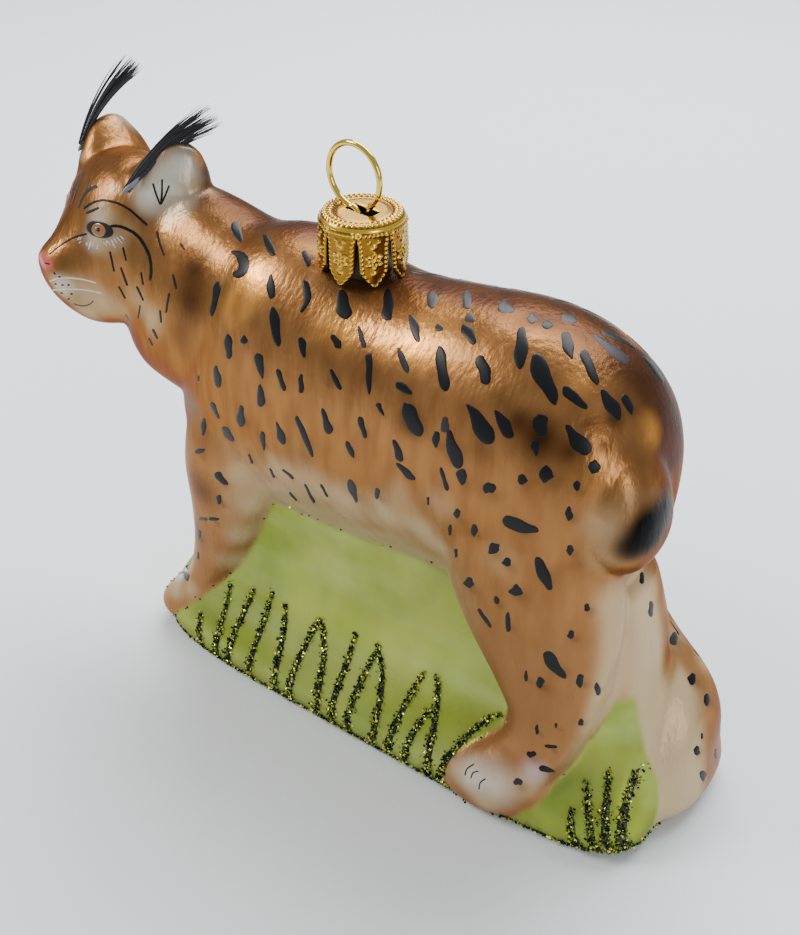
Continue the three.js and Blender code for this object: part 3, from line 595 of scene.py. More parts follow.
# the same on the tail, where the smoke just under it is painted shade; on the grass, where the pale green is
# the paint's own pale middle and, low on the rolled front, also a painted sheen; and on the tail's tip
tailPatches = [
    (606, 528, 28, "cream", 0.5, 1), (612, 545, 24, "smoke", 0.5, 1), (632, 500, 18, "smoke", 0.6, 1),
    (657, 500, 14, "smoke", 0.6, 1), (630, 556, 16, "smoke", 0.7, 1),
]
grassPatches = [
    (330, 560, 60, "paleGrassAndSheen", 0.7, 1), (420, 590, 60, "paleGrassAndSheen", 0.7, 1), (300, 620, 50, "paleGrassAndSheen", 0.5, 1),
    (400, 650, 60, "paleGrassAndSheen", 0.6, 1), (470, 650, 50, "paleGrassAndSheen", 0.5, 1), (340, 690, 40, "paleGrassAndSheen", 0.5, 1),
    (260, 590, 26, "olive", 0.4, 1), (480, 700, 34, "olive", 0.5, 1), (440, 570, 22, "olive", 0.5, 1),
    (300, 530, 20, "olive", 0.3, 1), (600, 765, 34, "paleGrassAndSheen", 0.4, 1), (640, 740, 22, "olive", 0.4, 1),
    (560, 800, 26, "olive", 0.3, 1), (210, 610, 24, "olive", 0.4, 1),
]
tipPatches = [
    (650, 531, 32, "black", 1.0, 0.6), (666, 512, 22, "black", 1.0, 0.7), (634, 546, 20, "black", 0.9, 0.9),
    (622, 550, 14, "black", 0.4, 1),
]


patchShape = {"fadeOut": 0.25, "widen": 1.15, "apart": 1.6}


def patch(centre, reach, name, share, soft, within=1.0):
    # full inside the reach less its softness, gone a little outside the reach
    distance = np.linalg.norm(skinPoints - centre, axis=1)
    full, gone = reach * (1 - soft), reach * (1 + patchShape["fadeOut"] * soft)
    lay(name, within * share * (1 - ramp(distance, full, gone)))


def pixelSize(spot):
    # millimetres that one pixel covers at a place
    return np.linalg.norm(spot - np.array(camera["place"])) / camera["focalPixels"]


def layPatches(rows, within=1.0, isMirrored=True):
    # each patch where its pixel meets the skin, and on the other side; pink on the middle of the nose
    centres, _ = castView([row[:2] for row in rows])
    for (_, _, reach, name, share, soft), centre in zip(rows, centres):
        if np.isfinite(centre).all():
            size = reach * pixelSize(centre) * patchShape["widen"]
            patch(centre, size, name, share, soft, within)
            flip = onSkin(mirrored(centre[None]))[0][0]
            if name == "pink":
                patch(onSkin((centre + flip)[None] / 2)[0][0], size, name, share, soft, within)
            elif isMirrored and np.linalg.norm(flip - centre) > patchShape["apart"] * size:
                patch(flip, size, name, share, soft, within)


layPatches(patches)
layPatches(tailPatches, isMirrored=False)

strokeShape = {
    "along": 15, "across": 7, "middle": (6, 3), "lift": 0.07, "sink": 0.05, "domePower": 6,
    "wander": 0.17, "widen": 0.98, "ends": 0.36, "roundFrom": 0.62, "leastHalf": 0.02,
    "spindle": 0.56, "spindlePower": (1.7, 2.6), "spindleRoot": 0.62,
    "dabFrom": 4, "dabLeaf": 0.8, "lineLeaf": 0.3,
}
# how a mark is carried to the far side, and how the marks of the face differ
markShape = {
    "depthSpread": 14, "apart": 7, "step": 1.6, "facing": -0.1, "rear": 57, "jitter": 0.9, "reflectionReach": 0.75,
    "faceApart": 4, "faceShade": 0.8, "faceLift": 0.6, "faceWander": 0.06,
}
# dark coat marks: path pixels, width in pixels, 1 where the mark is lighter: faded paint, and on the back
# also a painted reflection of the sky
coatMarks = [
    ([235, 225, 240, 239], 9.5, 0), ([235, 253, 242, 257, 243, 268, 237, 274], 12.5, 0),
    ([265, 237, 273, 253], 9, 0),
    ([305, 253, 308, 264], 8, 0), ([218, 284, 212, 314], 8, 0), ([271, 277, 271, 296], 8.5, 0),
    ([305, 283, 308, 297, 302, 310], 8.5, 0), ([342, 295, 345, 314], 16, 0), ([388, 293, 388, 316], 13, 0),
    ([273, 310, 278, 343], 11, 0), ([301, 340, 304, 355], 8.5, 0), ([333, 337, 339, 346], 8, 0),
    ([359, 328, 364, 346], 6.5, 1), ([411, 318, 418, 339], 10, 1), ([258, 356, 262, 376], 8.5, 0),
    ([278, 371, 284, 389], 6.5, 0), ([301, 376, 301, 391], 6.5, 0), ([331, 371, 340, 388], 6, 0),
    ([369, 356, 369, 392], 8, 0), ([399, 350, 407, 371], 7.5, 1), ([399, 385, 409, 392], 10, 0),
    ([260, 387, 261, 404], 8.5, 0), ([212, 404, 218, 417], 6, 0), ([241, 408, 241, 424], 8.5, 0),
    ([224, 429, 232, 439], 8, 0), ([204, 420, 203, 434], 5.5, 0), ([277, 424, 283, 442], 7.5, 0),
    ([262, 433, 264, 449], 5.5, 0), ([297, 418, 312, 455], 7, 0), ([323, 411, 329, 431], 9, 0),
    ([360, 419, 365, 436], 7.5, 0), ([407, 408, 418, 431], 17, 0), ([378, 405, 383, 414], 6, 0),
    ([347, 443, 353, 456], 6, 0), ([394, 442, 401, 459], 8, 0), ([398, 465, 413, 478], 8, 0),
    ([228, 337, 229, 356], 9, 0), ([244, 338, 244, 341], 8, 0), ([216, 368, 218, 385], 8, 0),
    ([198, 377, 198, 380], 4, 0), ([197, 452, 203, 450], 6, 0), ([189, 438, 189, 442], 6, 1),
    ([217, 475, 226, 483], 8, 0), ([219, 497, 219, 502], 6.5, 0), ([210, 519, 218, 519], 4, 0),
    ([200, 519, 206, 519], 4, 1), ([199, 532, 199, 537], 5, 1), ([198, 553, 198, 558], 3, 0),
    ([186, 574, 187, 579], 6, 1), ([432, 296, 432, 304], 13, 1), ([467, 294, 467, 305], 11, 1),
    ([469, 318, 471, 319], 11, 1), ([465, 328, 473, 341], 11, 0), ([438, 328, 440, 328], 9, 1),
    ([503, 307, 510, 309], 14, 1), ([532, 317, 532, 320], 10, 1), ([545, 325, 550, 325], 9, 0),
    ([565, 317, 573, 320], 11, 1), ([522, 332, 520, 364], 15, 0), ([537, 360, 553, 399], 19, 0),
    ([565, 336, 571, 355], 12, 0), ([584, 354, 596, 381], 12, 0), ([597, 337, 625, 361], 12, 1),
    ([481, 360, 486, 380], 14, 0), ([440, 350, 445, 387], 13, 0), ([566, 390, 584, 406], 12, 0),
    ([604, 393, 617, 416], 14, 0), ([625, 397, 631, 412], 9, 0), ([470, 409, 489, 438], 18, 0),
    ([497, 414, 510, 434], 13, 0), ([540, 420, 541, 432], 17, 0), ([535, 443, 536, 453], 9, 0),
    ([569, 429, 585, 450], 16, 0), ([449, 434, 458, 464], 14, 0), ([445, 420, 445, 429], 10, 1),
    ([436, 434, 436, 445], 8, 0), ([593, 467, 596, 467], 14, 0), ([545, 474, 548, 475], 17, 0),
    ([522, 478, 522, 481], 11, 0), ([577, 484, 577, 488], 9, 0), ([488, 488, 491, 488], 15, 0),
    ([462, 473, 462, 481], 12, 0), ([441, 469, 447, 489], 6, 0), ([457, 511, 457, 516], 7, 0),
    ([450, 526, 450, 534], 4, 0), ([474, 527, 474, 534], 8, 0), ([507, 521, 534, 530], 14, 0),
    ([569, 509, 569, 518], 8, 0), ([570, 548, 570, 553], 8, 0), ([493, 547, 494, 549], 13, 0),
    ([456, 550, 456, 556], 4, 0), ([507, 561, 507, 563], 10, 0), ([538, 561, 549, 586], 13, 0),
    ([516, 589, 516, 591], 14, 0), ([469, 581, 469, 584], 11, 0), ([479, 610, 490, 626], 5, 0),
    ([496, 598, 497, 602], 6, 0), ([508, 614, 508, 630], 6, 0), ([587, 606, 587, 609], 7, 0),
    ([571, 633, 571, 636], 8, 0), ([547, 656, 563, 675], 13, 0), ([526, 672, 526, 680], 4, 0),
    ([540, 680, 540, 685], 9, 0), ([580, 677, 580, 685], 8, 0), ([597, 685, 598, 693], 7, 0),
    ([581, 721, 581, 723], 7, 0), ([537, 726, 537, 733], 4, 0), ([556, 724, 556, 727], 3, 0),
    ([546, 746, 556, 747], 4, 0), ([529, 754, 534, 754], 7, 0), ([541, 768, 553, 771], 6, 0),
    ([516, 782, 520, 782], 8, 1), ([642, 574, 642, 582], 6, 0), ([651, 603, 651, 615], 6, 1),
    ([674, 635, 674, 642], 9, 1), ([692, 676, 692, 682], 9, 0), ([707, 696, 707, 704], 7, 0),
    ([702, 734, 702, 738], 3, 0), ([697, 748, 697, 753], 7, 0), ([703, 773, 703, 779], 7, 0),
    ([716, 750, 716, 758], 3, 0), ([249, 455, 252, 463], 3, 0), ([270, 469, 274, 477], 3, 0),
    ([283, 470, 293, 478], 3.2, 0), ([305, 485, 314, 502], 3.4, 0), ([321, 485, 327, 496], 3, 0),
    ([290, 493, 296, 500], 3, 0), ([350, 482, 356, 500], 8, 1), ([377, 490, 377, 497], 6, 1),
    ([428, 498, 428, 504], 3, 0), ([465, 775, 467, 769, 474, 764], 1.6, 1),
    ([471, 778, 473, 773, 478, 771], 1.6, 1), ([479, 789, 480, 783, 485, 779], 1.6, 1),
]
faceMarks = [
    # brow, inner and outer eye lines, prong
    ([84, 209, 92, 203, 103, 200, 114, 202, 122, 205, 130, 210, 138, 217, 147, 225], 3.2, 0),
    ([86, 234, 75, 237, 62, 244, 50, 254], 2.4, 0),
    ([110, 227, 118, 226, 127, 229, 136, 234, 143, 243, 149, 255, 151, 268, 150, 280], 4.0, 0),
    ([87, 213, 98, 208], 3.4, 1),
    # hairs in the ear
    ([153, 184, 156, 194, 160, 204], 2.4, 0), ([162, 180, 162, 192, 161, 204], 2.6, 0),
    ([169, 186, 165, 196, 161, 204], 2.4, 0),
    # cheek dashes
    ([110, 252, 114, 271], 2.6, 0), ([123, 248, 126, 260], 2.6, 0), ([121, 268, 127, 285], 2.8, 0),
    ([141, 273, 143, 284], 2.6, 0), ([137, 287, 143, 300], 2.8, 0), ([119, 287, 125, 298], 2.6, 0),
    ([157, 232, 160, 244, 164, 255], 2.6, 0), ([181, 244, 184, 249], 2.6, 0), ([173, 275, 176, 288], 3.0, 0),
    ([169, 294, 166, 312], 2.8, 0), ([160, 311, 161, 322], 2.8, 0), ([140, 306, 138, 318], 2.2, 0),
    ([126, 315, 130, 322], 2.2, 0), ([153, 330, 157, 338], 3.2, 0), ([149, 339, 152, 345], 2.8, 0),
    # forehead strokes
    ([83, 172, 79, 184, 74, 198], 2.2, 1), ([90, 180, 85, 194, 78, 208], 2.0, 1),
    ([76, 190, 72, 204], 1.8, 1),
    # whisker dots, smile and nostril
    ([54, 273, 55, 274], 2.2, 0), ([59, 277, 60, 277], 2.2, 0), ([55, 284, 56, 284], 2.2, 0),
    ([62, 285, 63, 285], 2.4, 0), ([68, 285, 69, 285], 2.4, 0), ([61, 293, 62, 293], 2.4, 0),
    ([71, 294, 72, 294], 2.4, 0), ([68, 299, 69, 299], 2.2, 0),
    ([74, 304, 83, 306, 90, 304, 93, 301], 1.5, 1),
    ([45, 263, 49, 264], 2.0, 0),
]
whiskers = [
    ([50, 281, 62, 278, 80, 279, 96, 283], 1.7), ([53, 290, 70, 289, 85, 290, 101, 293], 1.7),
    ([54, 298, 66, 296, 84, 298], 1.2),
]


def pathPoints(flat, count):
    # even steps along a smooth curve through the pixels
    return smoothRows(np.array(flat, float).reshape(-1, 2), count - 1)


def openQuads(rows, cols):
    # the faces of a grid with open edges
    k = np.arange(rows * cols).reshape(rows, cols)
    return np.stack([k[:-1, :-1], k[1:, :-1], k[1:, 1:], k[:-1, 1:]], -1).reshape(-1, 4)


class MarkMesh:
    # gathers raised strokes of enamel as one mesh
    def __init__(self):
        self.points, self.faces, self.shades, self.count = [], [], [], 0

    def add(self, spots, normals, shade, scale=1.0):
        # spots and normals are an along by across grid; the lift is a dome, the root of 1 - max(|t|^6, |s|)^2
        if not np.isfinite(spots).all():
            return
        rows, cols = spots.shape[:2]
        t = np.linspace(-1, 1, rows)[:, None]
        s = np.linspace(-1, 1, cols)[None]
        dome = np.clip(1 - np.maximum(np.abs(t) ** strokeShape["domePower"], np.abs(s)) ** 2, 0, 1)
        lift = strokeShape["lift"] * scale * np.sqrt(dome) - strokeShape["sink"] * (dome < 0.02)
        grid = spots + normals * lift[..., None]
        quads = openQuads(rows, cols) + self.count
        a, b, d = grid[rows // 2, cols // 2], grid[rows // 2 + 1, cols // 2], grid[rows // 2, cols // 2 + 1]
        if np.cross(b - a, d - a) @ normals[rows // 2, cols // 2] < 0:
            quads = quads[:, ::-1]
        self.points.append(grid.reshape(-1, 3))
        self.faces += quads.tolist()
        self.shades.append(np.full(rows * cols, float(shade)))
        self.count += rows * cols

    def finish(self, name, slotName):
        # the gathered strokes as a piece that keeps their shades
        piece = addMesh(name, np.concatenate(self.points), self.faces)
        keepValues(piece, "shade", np.concatenate(self.shades))
        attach(piece, "root")
        return piece


def strokeGrid(flat, width, ragged, leaf=0.0):
    # pixel grid of a stroke: round ends of half width (1 - (1 - d)^2)^(1/2), leaning by leaf towards the
    # spindle 1 - |t|^p of a dabbed brush, with slow waves on both edges
    rows, cols = strokeShape["along"], strokeShape["across"]
    path = pathPoints(flat, rows)
    step = np.gradient(path, axis=0)
    step /= np.linalg.norm(step, axis=1, keepdims=True) + 1e-9
    length = np.linalg.norm(np.diff(path, axis=0), axis=1).sum()
    t = np.sin(np.linspace(-1, 1, rows) * math.pi / 2)
    path = np.stack([np.interp(t, np.linspace(-1, 1, rows), path[:, k]) for k in (0, 1)], -1)
    path = path + step * (t * width * strokeShape["ends"])[:, None]
    sideways = np.stack([-step[:, 1], step[:, 0]], -1)
    inward = (1 - np.abs(t)) * (length / 2 + width * strokeShape["ends"])
    ending = np.clip(inward / (width * strokeShape["roundFrom"]), 0, 1)
    half = width / 2 * np.sqrt(1 - (1 - ending) ** 2)
    lean = t + leaf * rng.uniform(-0.5, 0.5) * (1 - t ** 2)
    taper = np.clip(1 - np.abs(lean) ** rng.uniform(*strokeShape["spindlePower"]), 0, 1)
    spindle = width * strokeShape["spindle"] * taper ** strokeShape["spindleRoot"]
    half = half * (1 - leaf) + spindle * leaf + strokeShape["leastHalf"]
    phase = rng.uniform(0, 6.28, 4)
    half = half * (1 + 1.6 * ragged * rng.uniform(-1, 1) * t)
    left = half * (1 + ragged * (np.sin(3.1 * t + phase[0]) + 0.6 * np.sin(6.3 * t + phase[1])))
    right = half * (1 + ragged * (np.sin(3.4 * t + phase[2]) + 0.6 * np.sin(5.7 * t + phase[3])))
    s = np.linspace(-1, 1, cols)[None]
    reach = np.where(s < 0, s * left[:, None], s * right[:, None])
    return path[:, None] + sideways[:, None] * reach[..., None]


def castGrid(pixels):
    # a grid of pixels laid on the skin along the view rays
    rows, cols = pixels.shape[:2]
    spots, normals = castView(pixels.reshape(-1, 2))
    return spots.reshape(rows, cols, 3), normals.reshape(rows, cols, 3)


def projectGrid(points):
    # a grid of points laid on the nearest skin
    spots, normals = onSkin(points.reshape(-1, 3))
    return spots.reshape(points.shape), normals.reshape(points.shape)


def apart(other, spots):
    # the distance between the middles of two grids
    return np.linalg.norm(other.mean(axis=(0, 1)) - spots.mean(axis=(0, 1)))


print("coat marks")
marks = MarkMesh()
markReflections = []
for flat, width, fadeAndSheen in coatMarks:
    isDab = width > strokeShape["dabFrom"]
    leaf = strokeShape["dabLeaf"] if isDab else strokeShape["lineLeaf"]
    pixels = strokeGrid(flat, width * (strokeShape["widen"] if isDab else 1), strokeShape["wander"], leaf)
    spots, normals = castGrid(pixels)
    depths = np.linalg.norm(spots - camera["place"], axis=2)
    if not np.isfinite(spots).all() or np.ptp(depths) > markShape["depthSpread"]:
        continue
    marks.add(spots, normals, fadeAndSheen)
    # the reach of the mark's painted reflection in the silvering
    reflectionReach = width * pixelSize(spots[strokeShape["middle"]]) * markShape["reflectionReach"]
    markReflections.append((spots.mean(axis=(0, 1)), reflectionReach))
    jitter = rng.normal(0, markShape["jitter"], 3) * [0, 1, 1]
    other = mirrored(spots.reshape(-1, 3)).reshape(spots.shape) + jitter
    if apart(other, spots) > markShape["apart"]:
        onFar, farNormals = projectGrid(other)
        isEven = np.linalg.norm(np.diff(onFar, axis=0), axis=2).max() < markShape["step"]
        isBeside = farNormals[..., 0].max() < markShape["facing"]
        if isEven and isBeside and np.abs(onFar[..., 1].max()) < markShape["rear"]:
            marks.add(onFar, farNormals, fadeAndSheen)
            markReflections.append((onFar.mean(axis=(0, 1)), reflectionReach))
for flat, width, fadeAndSheen in faceMarks:
    spots, normals = castGrid(strokeGrid(flat, width, markShape["faceWander"]))
    if np.isfinite(spots).all():
        shade = fadeAndSheen * markShape["faceShade"]
        marks.add(spots, normals, shade, markShape["faceLift"])
        other = mirrored(spots.reshape(-1, 3)).reshape(spots.shape)
        if apart(other, spots) > markShape["faceApart"]:
            marks.add(*projectGrid(other), shade, markShape["faceLift"])
print("marks laid", len(marks.shades), "of", 2 * (len(coatMarks) + len(faceMarks)))
markPiece = marks.finish("coat_marks", "painted_glass")

# each mark's reflection in the silvering behind the glass is painted into the coat as a soft darker spot: a
# painted reflection
reflectionShape = {"shift": (-0.2, 0.7, -0.8), "share": 0.4, "fleshEdge": (0, 1)}
for centre, reach in markReflections:
    distance = np.linalg.norm(skinPoints - (centre + np.array(reflectionShape["shift"])), axis=1)
    onFlesh = 1 - ramp(fleshField - baseField, *reflectionShape["fleshEdge"])
    lay("umber", reflectionShape["share"] * np.exp(-(distance / reach) ** 2) * onFlesh)

lay("grass", isGrass)
layPatches(grassPatches, isGrass)
layPatches(tipPatches, 1 - isGrass, False)
tint = skin.data.attributes.new("coat", "FLOAT_COLOR", "POINT")
tint.data.foreach_set("color", np.concatenate([coat[:, :3], np.ones((len(coat), 1))], axis=1).ravel())
keepValues(skin, "metal", coat[:, 3])
keepValues(skin, "grass", isGrass)


eyeShape = {"rings": 7, "sides": 28, "rimSink": 0.05, "tilt": -10, "tall": 1.15, "leastShow": 0.5}


def blob(name, centre, across, up, out, half, lift):
    # a dome on the skin: rings r from 0 to 1 in the half width and height, raised by lift * sqrt(1 - r^2)
    r = np.linspace(0, 1, eyeShape["rings"])[:, None]
    c, s = around(eyeShape["sides"], 2)
    flat = centre + (r * half[0] * c)[..., None] * across + (r * half[1] * s)[..., None] * up
    spots = onSkin(flat.reshape(-1, 3))[0].reshape(flat.shape) + out * (lift * np.sqrt(1 - r ** 2))[..., None]
    spots[-1] -= out * eyeShape["rimSink"]
    piece = addClosed(name, spots)
    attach(piece, "root")
    return piece


def shaderMaterial(name, color, metallic, roughness, coatWeight=0.0, coatRoughness=0.08):
    # a principled material and its shader
    made = bpy.data.materials.new(name)
    made.use_nodes = True
    shader = made.node_tree.nodes["Principled BSDF"]
    shader.inputs["Base Color"].default_value = (*color, 1)
    shader.inputs["Metallic"].default_value = metallic
    shader.inputs["Roughness"].default_value = roughness
    shader.inputs["Coat Weight"].default_value = coatWeight
    shader.inputs["Coat Roughness"].default_value = coatRoughness
    return made, shader


def wear(piece, made):
    # the piece's one material
    piece.data.materials.clear()
    piece.data.materials.append(made)


# painted glass: the coat colours over silver, with engraved strokes of fur and brushed streaks on the grass
glassLook = {
    "base": (0.5, 0.3, 0.1), "metallic": 0.6, "roughness": 0.34, "coat": 0.03, "specular": 0.25,
    "furTurn": -24, "furScale": (900, 1100, 190), "softFurScale": (300, 360, 110),
    "furDepth": 0.34, "furLift": 0.35,
    "streakScale": (110, 34, 130), "streakTurn": 0.25, "cloudScale": (90, 90, 90),
    "shade": (0.16, 0.06, 0.02, 1), "paleBlades": (0.52, 0.58, 0.22, 1), "deepBlades": (0.18, 0.24, 0.06, 1),
    "glint": (0.30, 0.19, 0.11, 1),
    # value in, value out: how the patterns are stretched
    "furTone": (0.35, 0.68, 0, 1), "onMetal": (0.3, 0.8, 0, 0.42), "onStreak": (0.42, 0.8, 0, 0.5),
    "onCloud": (0.48, 0.8, 0, 0.5), "onRoughness": (0.3, 0.7, 0.26, 0.4), "noGrass": (0, 1, 1, 0),
}
paintedGlass, shader = shaderMaterial("paintedGlass", glassLook["base"], glassLook["metallic"],
                                      glassLook["roughness"], glassLook["coat"])
tree = paintedGlass.node_tree


def node(kind, **settings):
    # a node of the current tree, with its settings
    made = tree.nodes.new(kind)
    for key, value in settings.items():
        setattr(made, key, value)
    return made


def noise(source, detail):
    # smooth noise of the source's coordinates
    made = node("ShaderNodeTexNoise")
    made.inputs["Scale"].default_value = 1.0
    made.inputs["Detail"].default_value = detail
    tree.links.new(source, made.inputs["Vector"])
    return made.outputs["Fac"]


def scaled(source, scale, turn=(0, 0, 0)):
    # coordinates turned and then stretched
    made = node("ShaderNodeMapping")
    made.inputs["Rotation"].default_value = turn
    made.inputs["Scale"].default_value = scale
    tree.links.new(source, made.inputs["Vector"])
    return made.outputs["Vector"]


def remap(source, low, high, start, end):
    # the value's place between low and high, carried to start and end
    made = node("ShaderNodeMapRange")
    for key, value in {"From Min": low, "From Max": high, "To Min": start, "To Max": end}.items():
        made.inputs[key].default_value = value
    tree.links.new(source, made.inputs["Value"])
    return made.outputs["Result"]


def times(a, b):
    # the product of two values
    made = node("ShaderNodeMath", operation="MULTIPLY")
    tree.links.new(a, made.inputs[0])
    tree.links.new(b, made.inputs[1])
    return made.outputs[0]


def mixed(share, a, color):
    # from a to the colour by share
    made = node("ShaderNodeMix", data_type="RGBA")
    tree.links.new(share, made.inputs["Factor"])
    tree.links.new(a, made.inputs["A"])
    made.inputs["B"].default_value = color
    return made.outputs["Result"]


def attribute(name, output="Fac"):
    # what the piece keeps for each point
    return node("ShaderNodeAttribute", attribute_name=name).outputs[output]


place = node("ShaderNodeTexCoord").outputs["Object"]
coatColor, metalShare, grassShare = attribute("coat", "Color"), attribute("metal"), attribute("grass")
furTurn = (math.radians(glassLook["furTurn"]), 0, 0)
fur = noise(scaled(place, glassLook["furScale"], furTurn), 2.0)
softFur = noise(scaled(place, glassLook["softFurScale"], furTurn), 1.0)
streak = noise(scaled(place, glassLook["streakScale"], (glassLook["streakTurn"], 0, 0)), 2.0)
cloud = noise(scaled(place, glassLook["cloudScale"]), 3.0)
furTone = times(remap(softFur, *glassLook["furTone"]), remap(metalShare, *glassLook["onMetal"]))
shaded = mixed(furTone, coatColor, glassLook["shade"])
pale = mixed(times(grassShare, remap(streak, *glassLook["onStreak"])), shaded, glassLook["paleBlades"])
deep = mixed(times(grassShare, remap(cloud, *glassLook["onCloud"])), pale, glassLook["deepBlades"])
tree.links.new(deep, shader.inputs["Base Color"])
tree.links.new(metalShare, shader.inputs["Metallic"])
tree.links.new(mixed(metalShare, deep, glassLook["glint"]), shader.inputs["Specular Tint"])
shader.inputs["Specular IOR Level"].default_value = glassLook["specular"]
tree.links.new(remap(cloud, *glassLook["onRoughness"]), shader.inputs["Roughness"])
bump = node("ShaderNodeBump")
bump.inputs["Strength"].default_value = glassLook["furDepth"]
bump.inputs["Distance"].default_value = glassLook["furLift"] * mm
tree.links.new(times(remap(grassShare, *glassLook["noGrass"]), fur), bump.inputs["Height"])
tree.links.new(bump.outputs["Normal"], shader.inputs["Normal"])
wear(skin, paintedGlass)

# the lighter colour of the marks stands for faded paint and, on the back, a painted reflection of the sky on
# the enamel
enamelLook = {
    "ink": (0.005, 0.005, 0.006), "fadeAndSheen": (0.03, 0.024, 0.026, 1), "roughness": 0.36, "specular": 0.2,
}
enamel, enamelShader = shaderMaterial("blackEnamel", enamelLook["ink"], 0.0, enamelLook["roughness"])
enamelShader.inputs["Specular IOR Level"].default_value = enamelLook["specular"]
tree = enamel.node_tree
inky = node("ShaderNodeRGB")
inky.outputs[0].default_value = (*enamelLook["ink"], 1)
enamelColor = mixed(attribute("shade"), inky.outputs[0], enamelLook["fadeAndSheen"])
tree.links.new(enamelColor, enamelShader.inputs["Base Color"])
wear(markPiece, enamel)

print("eyes")
blackGloss = shaderMaterial("eyeBlack", (0.005, 0.005, 0.005), 0.0, 0.3, 0.1)[0]
irisBrown = shaderMaterial("irisBrown", (0.32, 0.12, 0.035), 0.1, 0.25, 0.6)[0]
whitePaint = shaderMaterial("whitePaint", (0.66, 0.64, 0.60), 0.0, 0.5)[0]
eyeParts = [
    # name, centre pixel, half width and height in pixels, lift, material
    ("eye_rim", (99.0, 229.5), (16.5, 7.6), 0.08, blackGloss),
    ("eye_iris", (98.6, 230), (8.6, 6.2), 0.2, irisBrown),
    ("eye_pupil", (98.6, 229.6), (2.9, 2.9), 0.3, blackGloss),
    ("eye_glint", (96.8, 227.8), (0.9, 0.8), 0.36, whitePaint),
]


def acrossFace(way):
    # a direction on the other side of the face: less twice its share to the left
    return way - 2 * (way @ leftward) * leftward


def eyeAxes(out):
    # across and up on the skin as the camera sees them, then tilted in the skin's own plane
    turn, tilt = math.radians(camera["turn"]), math.radians(eyeShape["tilt"])
    right = np.array([math.cos(turn), math.sin(turn), 0])
    across = right - out * (right @ out)
    across /= np.linalg.norm(across)
    up = np.cross(out, across)
    up = up if up[2] > 0 else -up
    show = max(eyeShape["leastShow"], np.linalg.norm(np.cross(right, out)))
    return across * math.cos(tilt) + up * math.sin(tilt), up * math.cos(tilt) - across * math.sin(tilt), show


for name, pixel, size, lift, made in eyeParts:
    spot, normal = castView([pixel])
    out = normal[0]
    across, up, show = eyeAxes(out)
    half = np.array(size) * pixelSize(spot[0]) * [1 / show, eyeShape["tall"]]
    far = onSkin(mirrored(spot))[0][0]
    wear(blob(name + "_left", spot[0], across, up, out, half, lift), made)
    wear(blob(name + "_right", far, acrossFace(across), up, acrossFace(out), half, lift), made)

# short white hairs under the eye, fanned along an arc
underEye = {
    "middle": (99, 236), "reach": (19, 8), "hairs": 22, "fall": (4.2, 4.4), "arc": (0.1, 0.95), "spread": 1.6,
    "drift": 0.6, "length": (0.4, 1.2), "width": (0.6, 1.1), "wander": 0.04, "lift": 0.6,
}
for turn in rng.uniform(*underEye["arc"], underEye["hairs"]):
    fan = np.array([-math.cos(math.pi * turn), math.sin(math.pi * turn)])
    foot = underEye["middle"] + fan * underEye["reach"] + rng.normal(0, underEye["spread"], 2)
    fall = np.array([fan[0] * underEye["fall"][0] + underEye["drift"], underEye["fall"][1]])
    hair = foot + fall * rng.uniform(*underEye["length"])
    whiskers.append((np.concatenate([foot, hair]).tolist(), rng.uniform(*underEye["width"])))
whiskerMesh = MarkMesh()
for flat, width in whiskers:
    spots, normals = castGrid(strokeGrid(flat, width, underEye["wander"]))
    if np.isfinite(spots).all():
        whiskerMesh.add(spots, normals, 0, underEye["lift"])
        other = mirrored(spots.reshape(-1, 3)).reshape(spots.shape)
        whiskerMesh.add(*projectGrid(other), 0, underEye["lift"])
wear(whiskerMesh.finish("whiskers", "painted_glass"), whitePaint)

print("glitter")
bladeRows = [
    # y of the foot, lean, bend, top
    (-39.8, -1.2, 0, 9), (-35.2, 0.6, -1.8, 16), (-31.8, 0, 1.6, 17.6), (-26.2, 0.8, -0.5, 18.8),
    (-19.2, -0.6, -2.4, 17.8), (-15.4, -2, 3.4, 18), (-9.2, 2, -6.4, 18.4), (-5, -2, 1.8, 19),
    (-1.4, -1.8, 3, 17.6), (4.2, 2.4, -6.8, 19), (8, -0.6, 3, 18.2), (11.6, -0.4, 2.4, 13),
    (17, -1, -3, 18.8), (19.4, -1, 8.2, 17.9), (46.8, -2.8, 0, 9), (50, -4, -1.2, 13),
    (52, -4.4, -0.2, 15.6), (54.4, -6, 3.2, 15.6),
]
glitterShape = {
    "perBlade": 300, "fullTop": 18, "bunch": 0.9, "wander": 0.6, "wanderUp": 0.25, "out": 0.4,
    "size": (0.16, 0.36), "tilt": 0.5, "flat": 0.35, "lift": (0.12, 0.42), "foot": 1.6, "farUntil": 40,
    # the glue that the grains lie in
    "bedSteps": 13, "bedCols": 5, "bedHalf": 0.85, "bedTaper": 0.75, "bedOut": 0.3, "bedLift": 2.2,
}
edgeGrains = {
    "count": 7000, "height": 0.3, "spread": 0.8, "span": (0.42, 2.6), "longShare": 0.74, "power": 5,
    # and a few along the seam of the coat
    "sparse": 150, "seam": 0.5, "seamSpan": (2, 44), "seamUntil": 42, "seamLift": 0.05,
}


def baseSection(z):
    # half width, front and back of the base's level section
    table = np.asarray(baseShape["rows"], float)
    return (np.interp(z, table[:, 0], table[:, k]) for k in (1, 2, 3))


def sideOfBase(y, z):
    # half width of the base at a place along it: half * (1 - |y/b|^p)^(1/p)
    half, front, back = baseSection(z)
    inset = np.abs((y - (front + back) / 2) / ((back - front) / 2))
    return half * np.clip(1 - inset ** baseShape["power"], 0, 1) ** (1 / baseShape["power"])


def bladeLine(row, t):
    # y + lean * t + bend * t^2; z rises from the foot to the top
    y, lean, bend, top = row
    return y + lean * t + bend * t * t, glitterShape["foot"] + (top - glitterShape["foot"]) * t


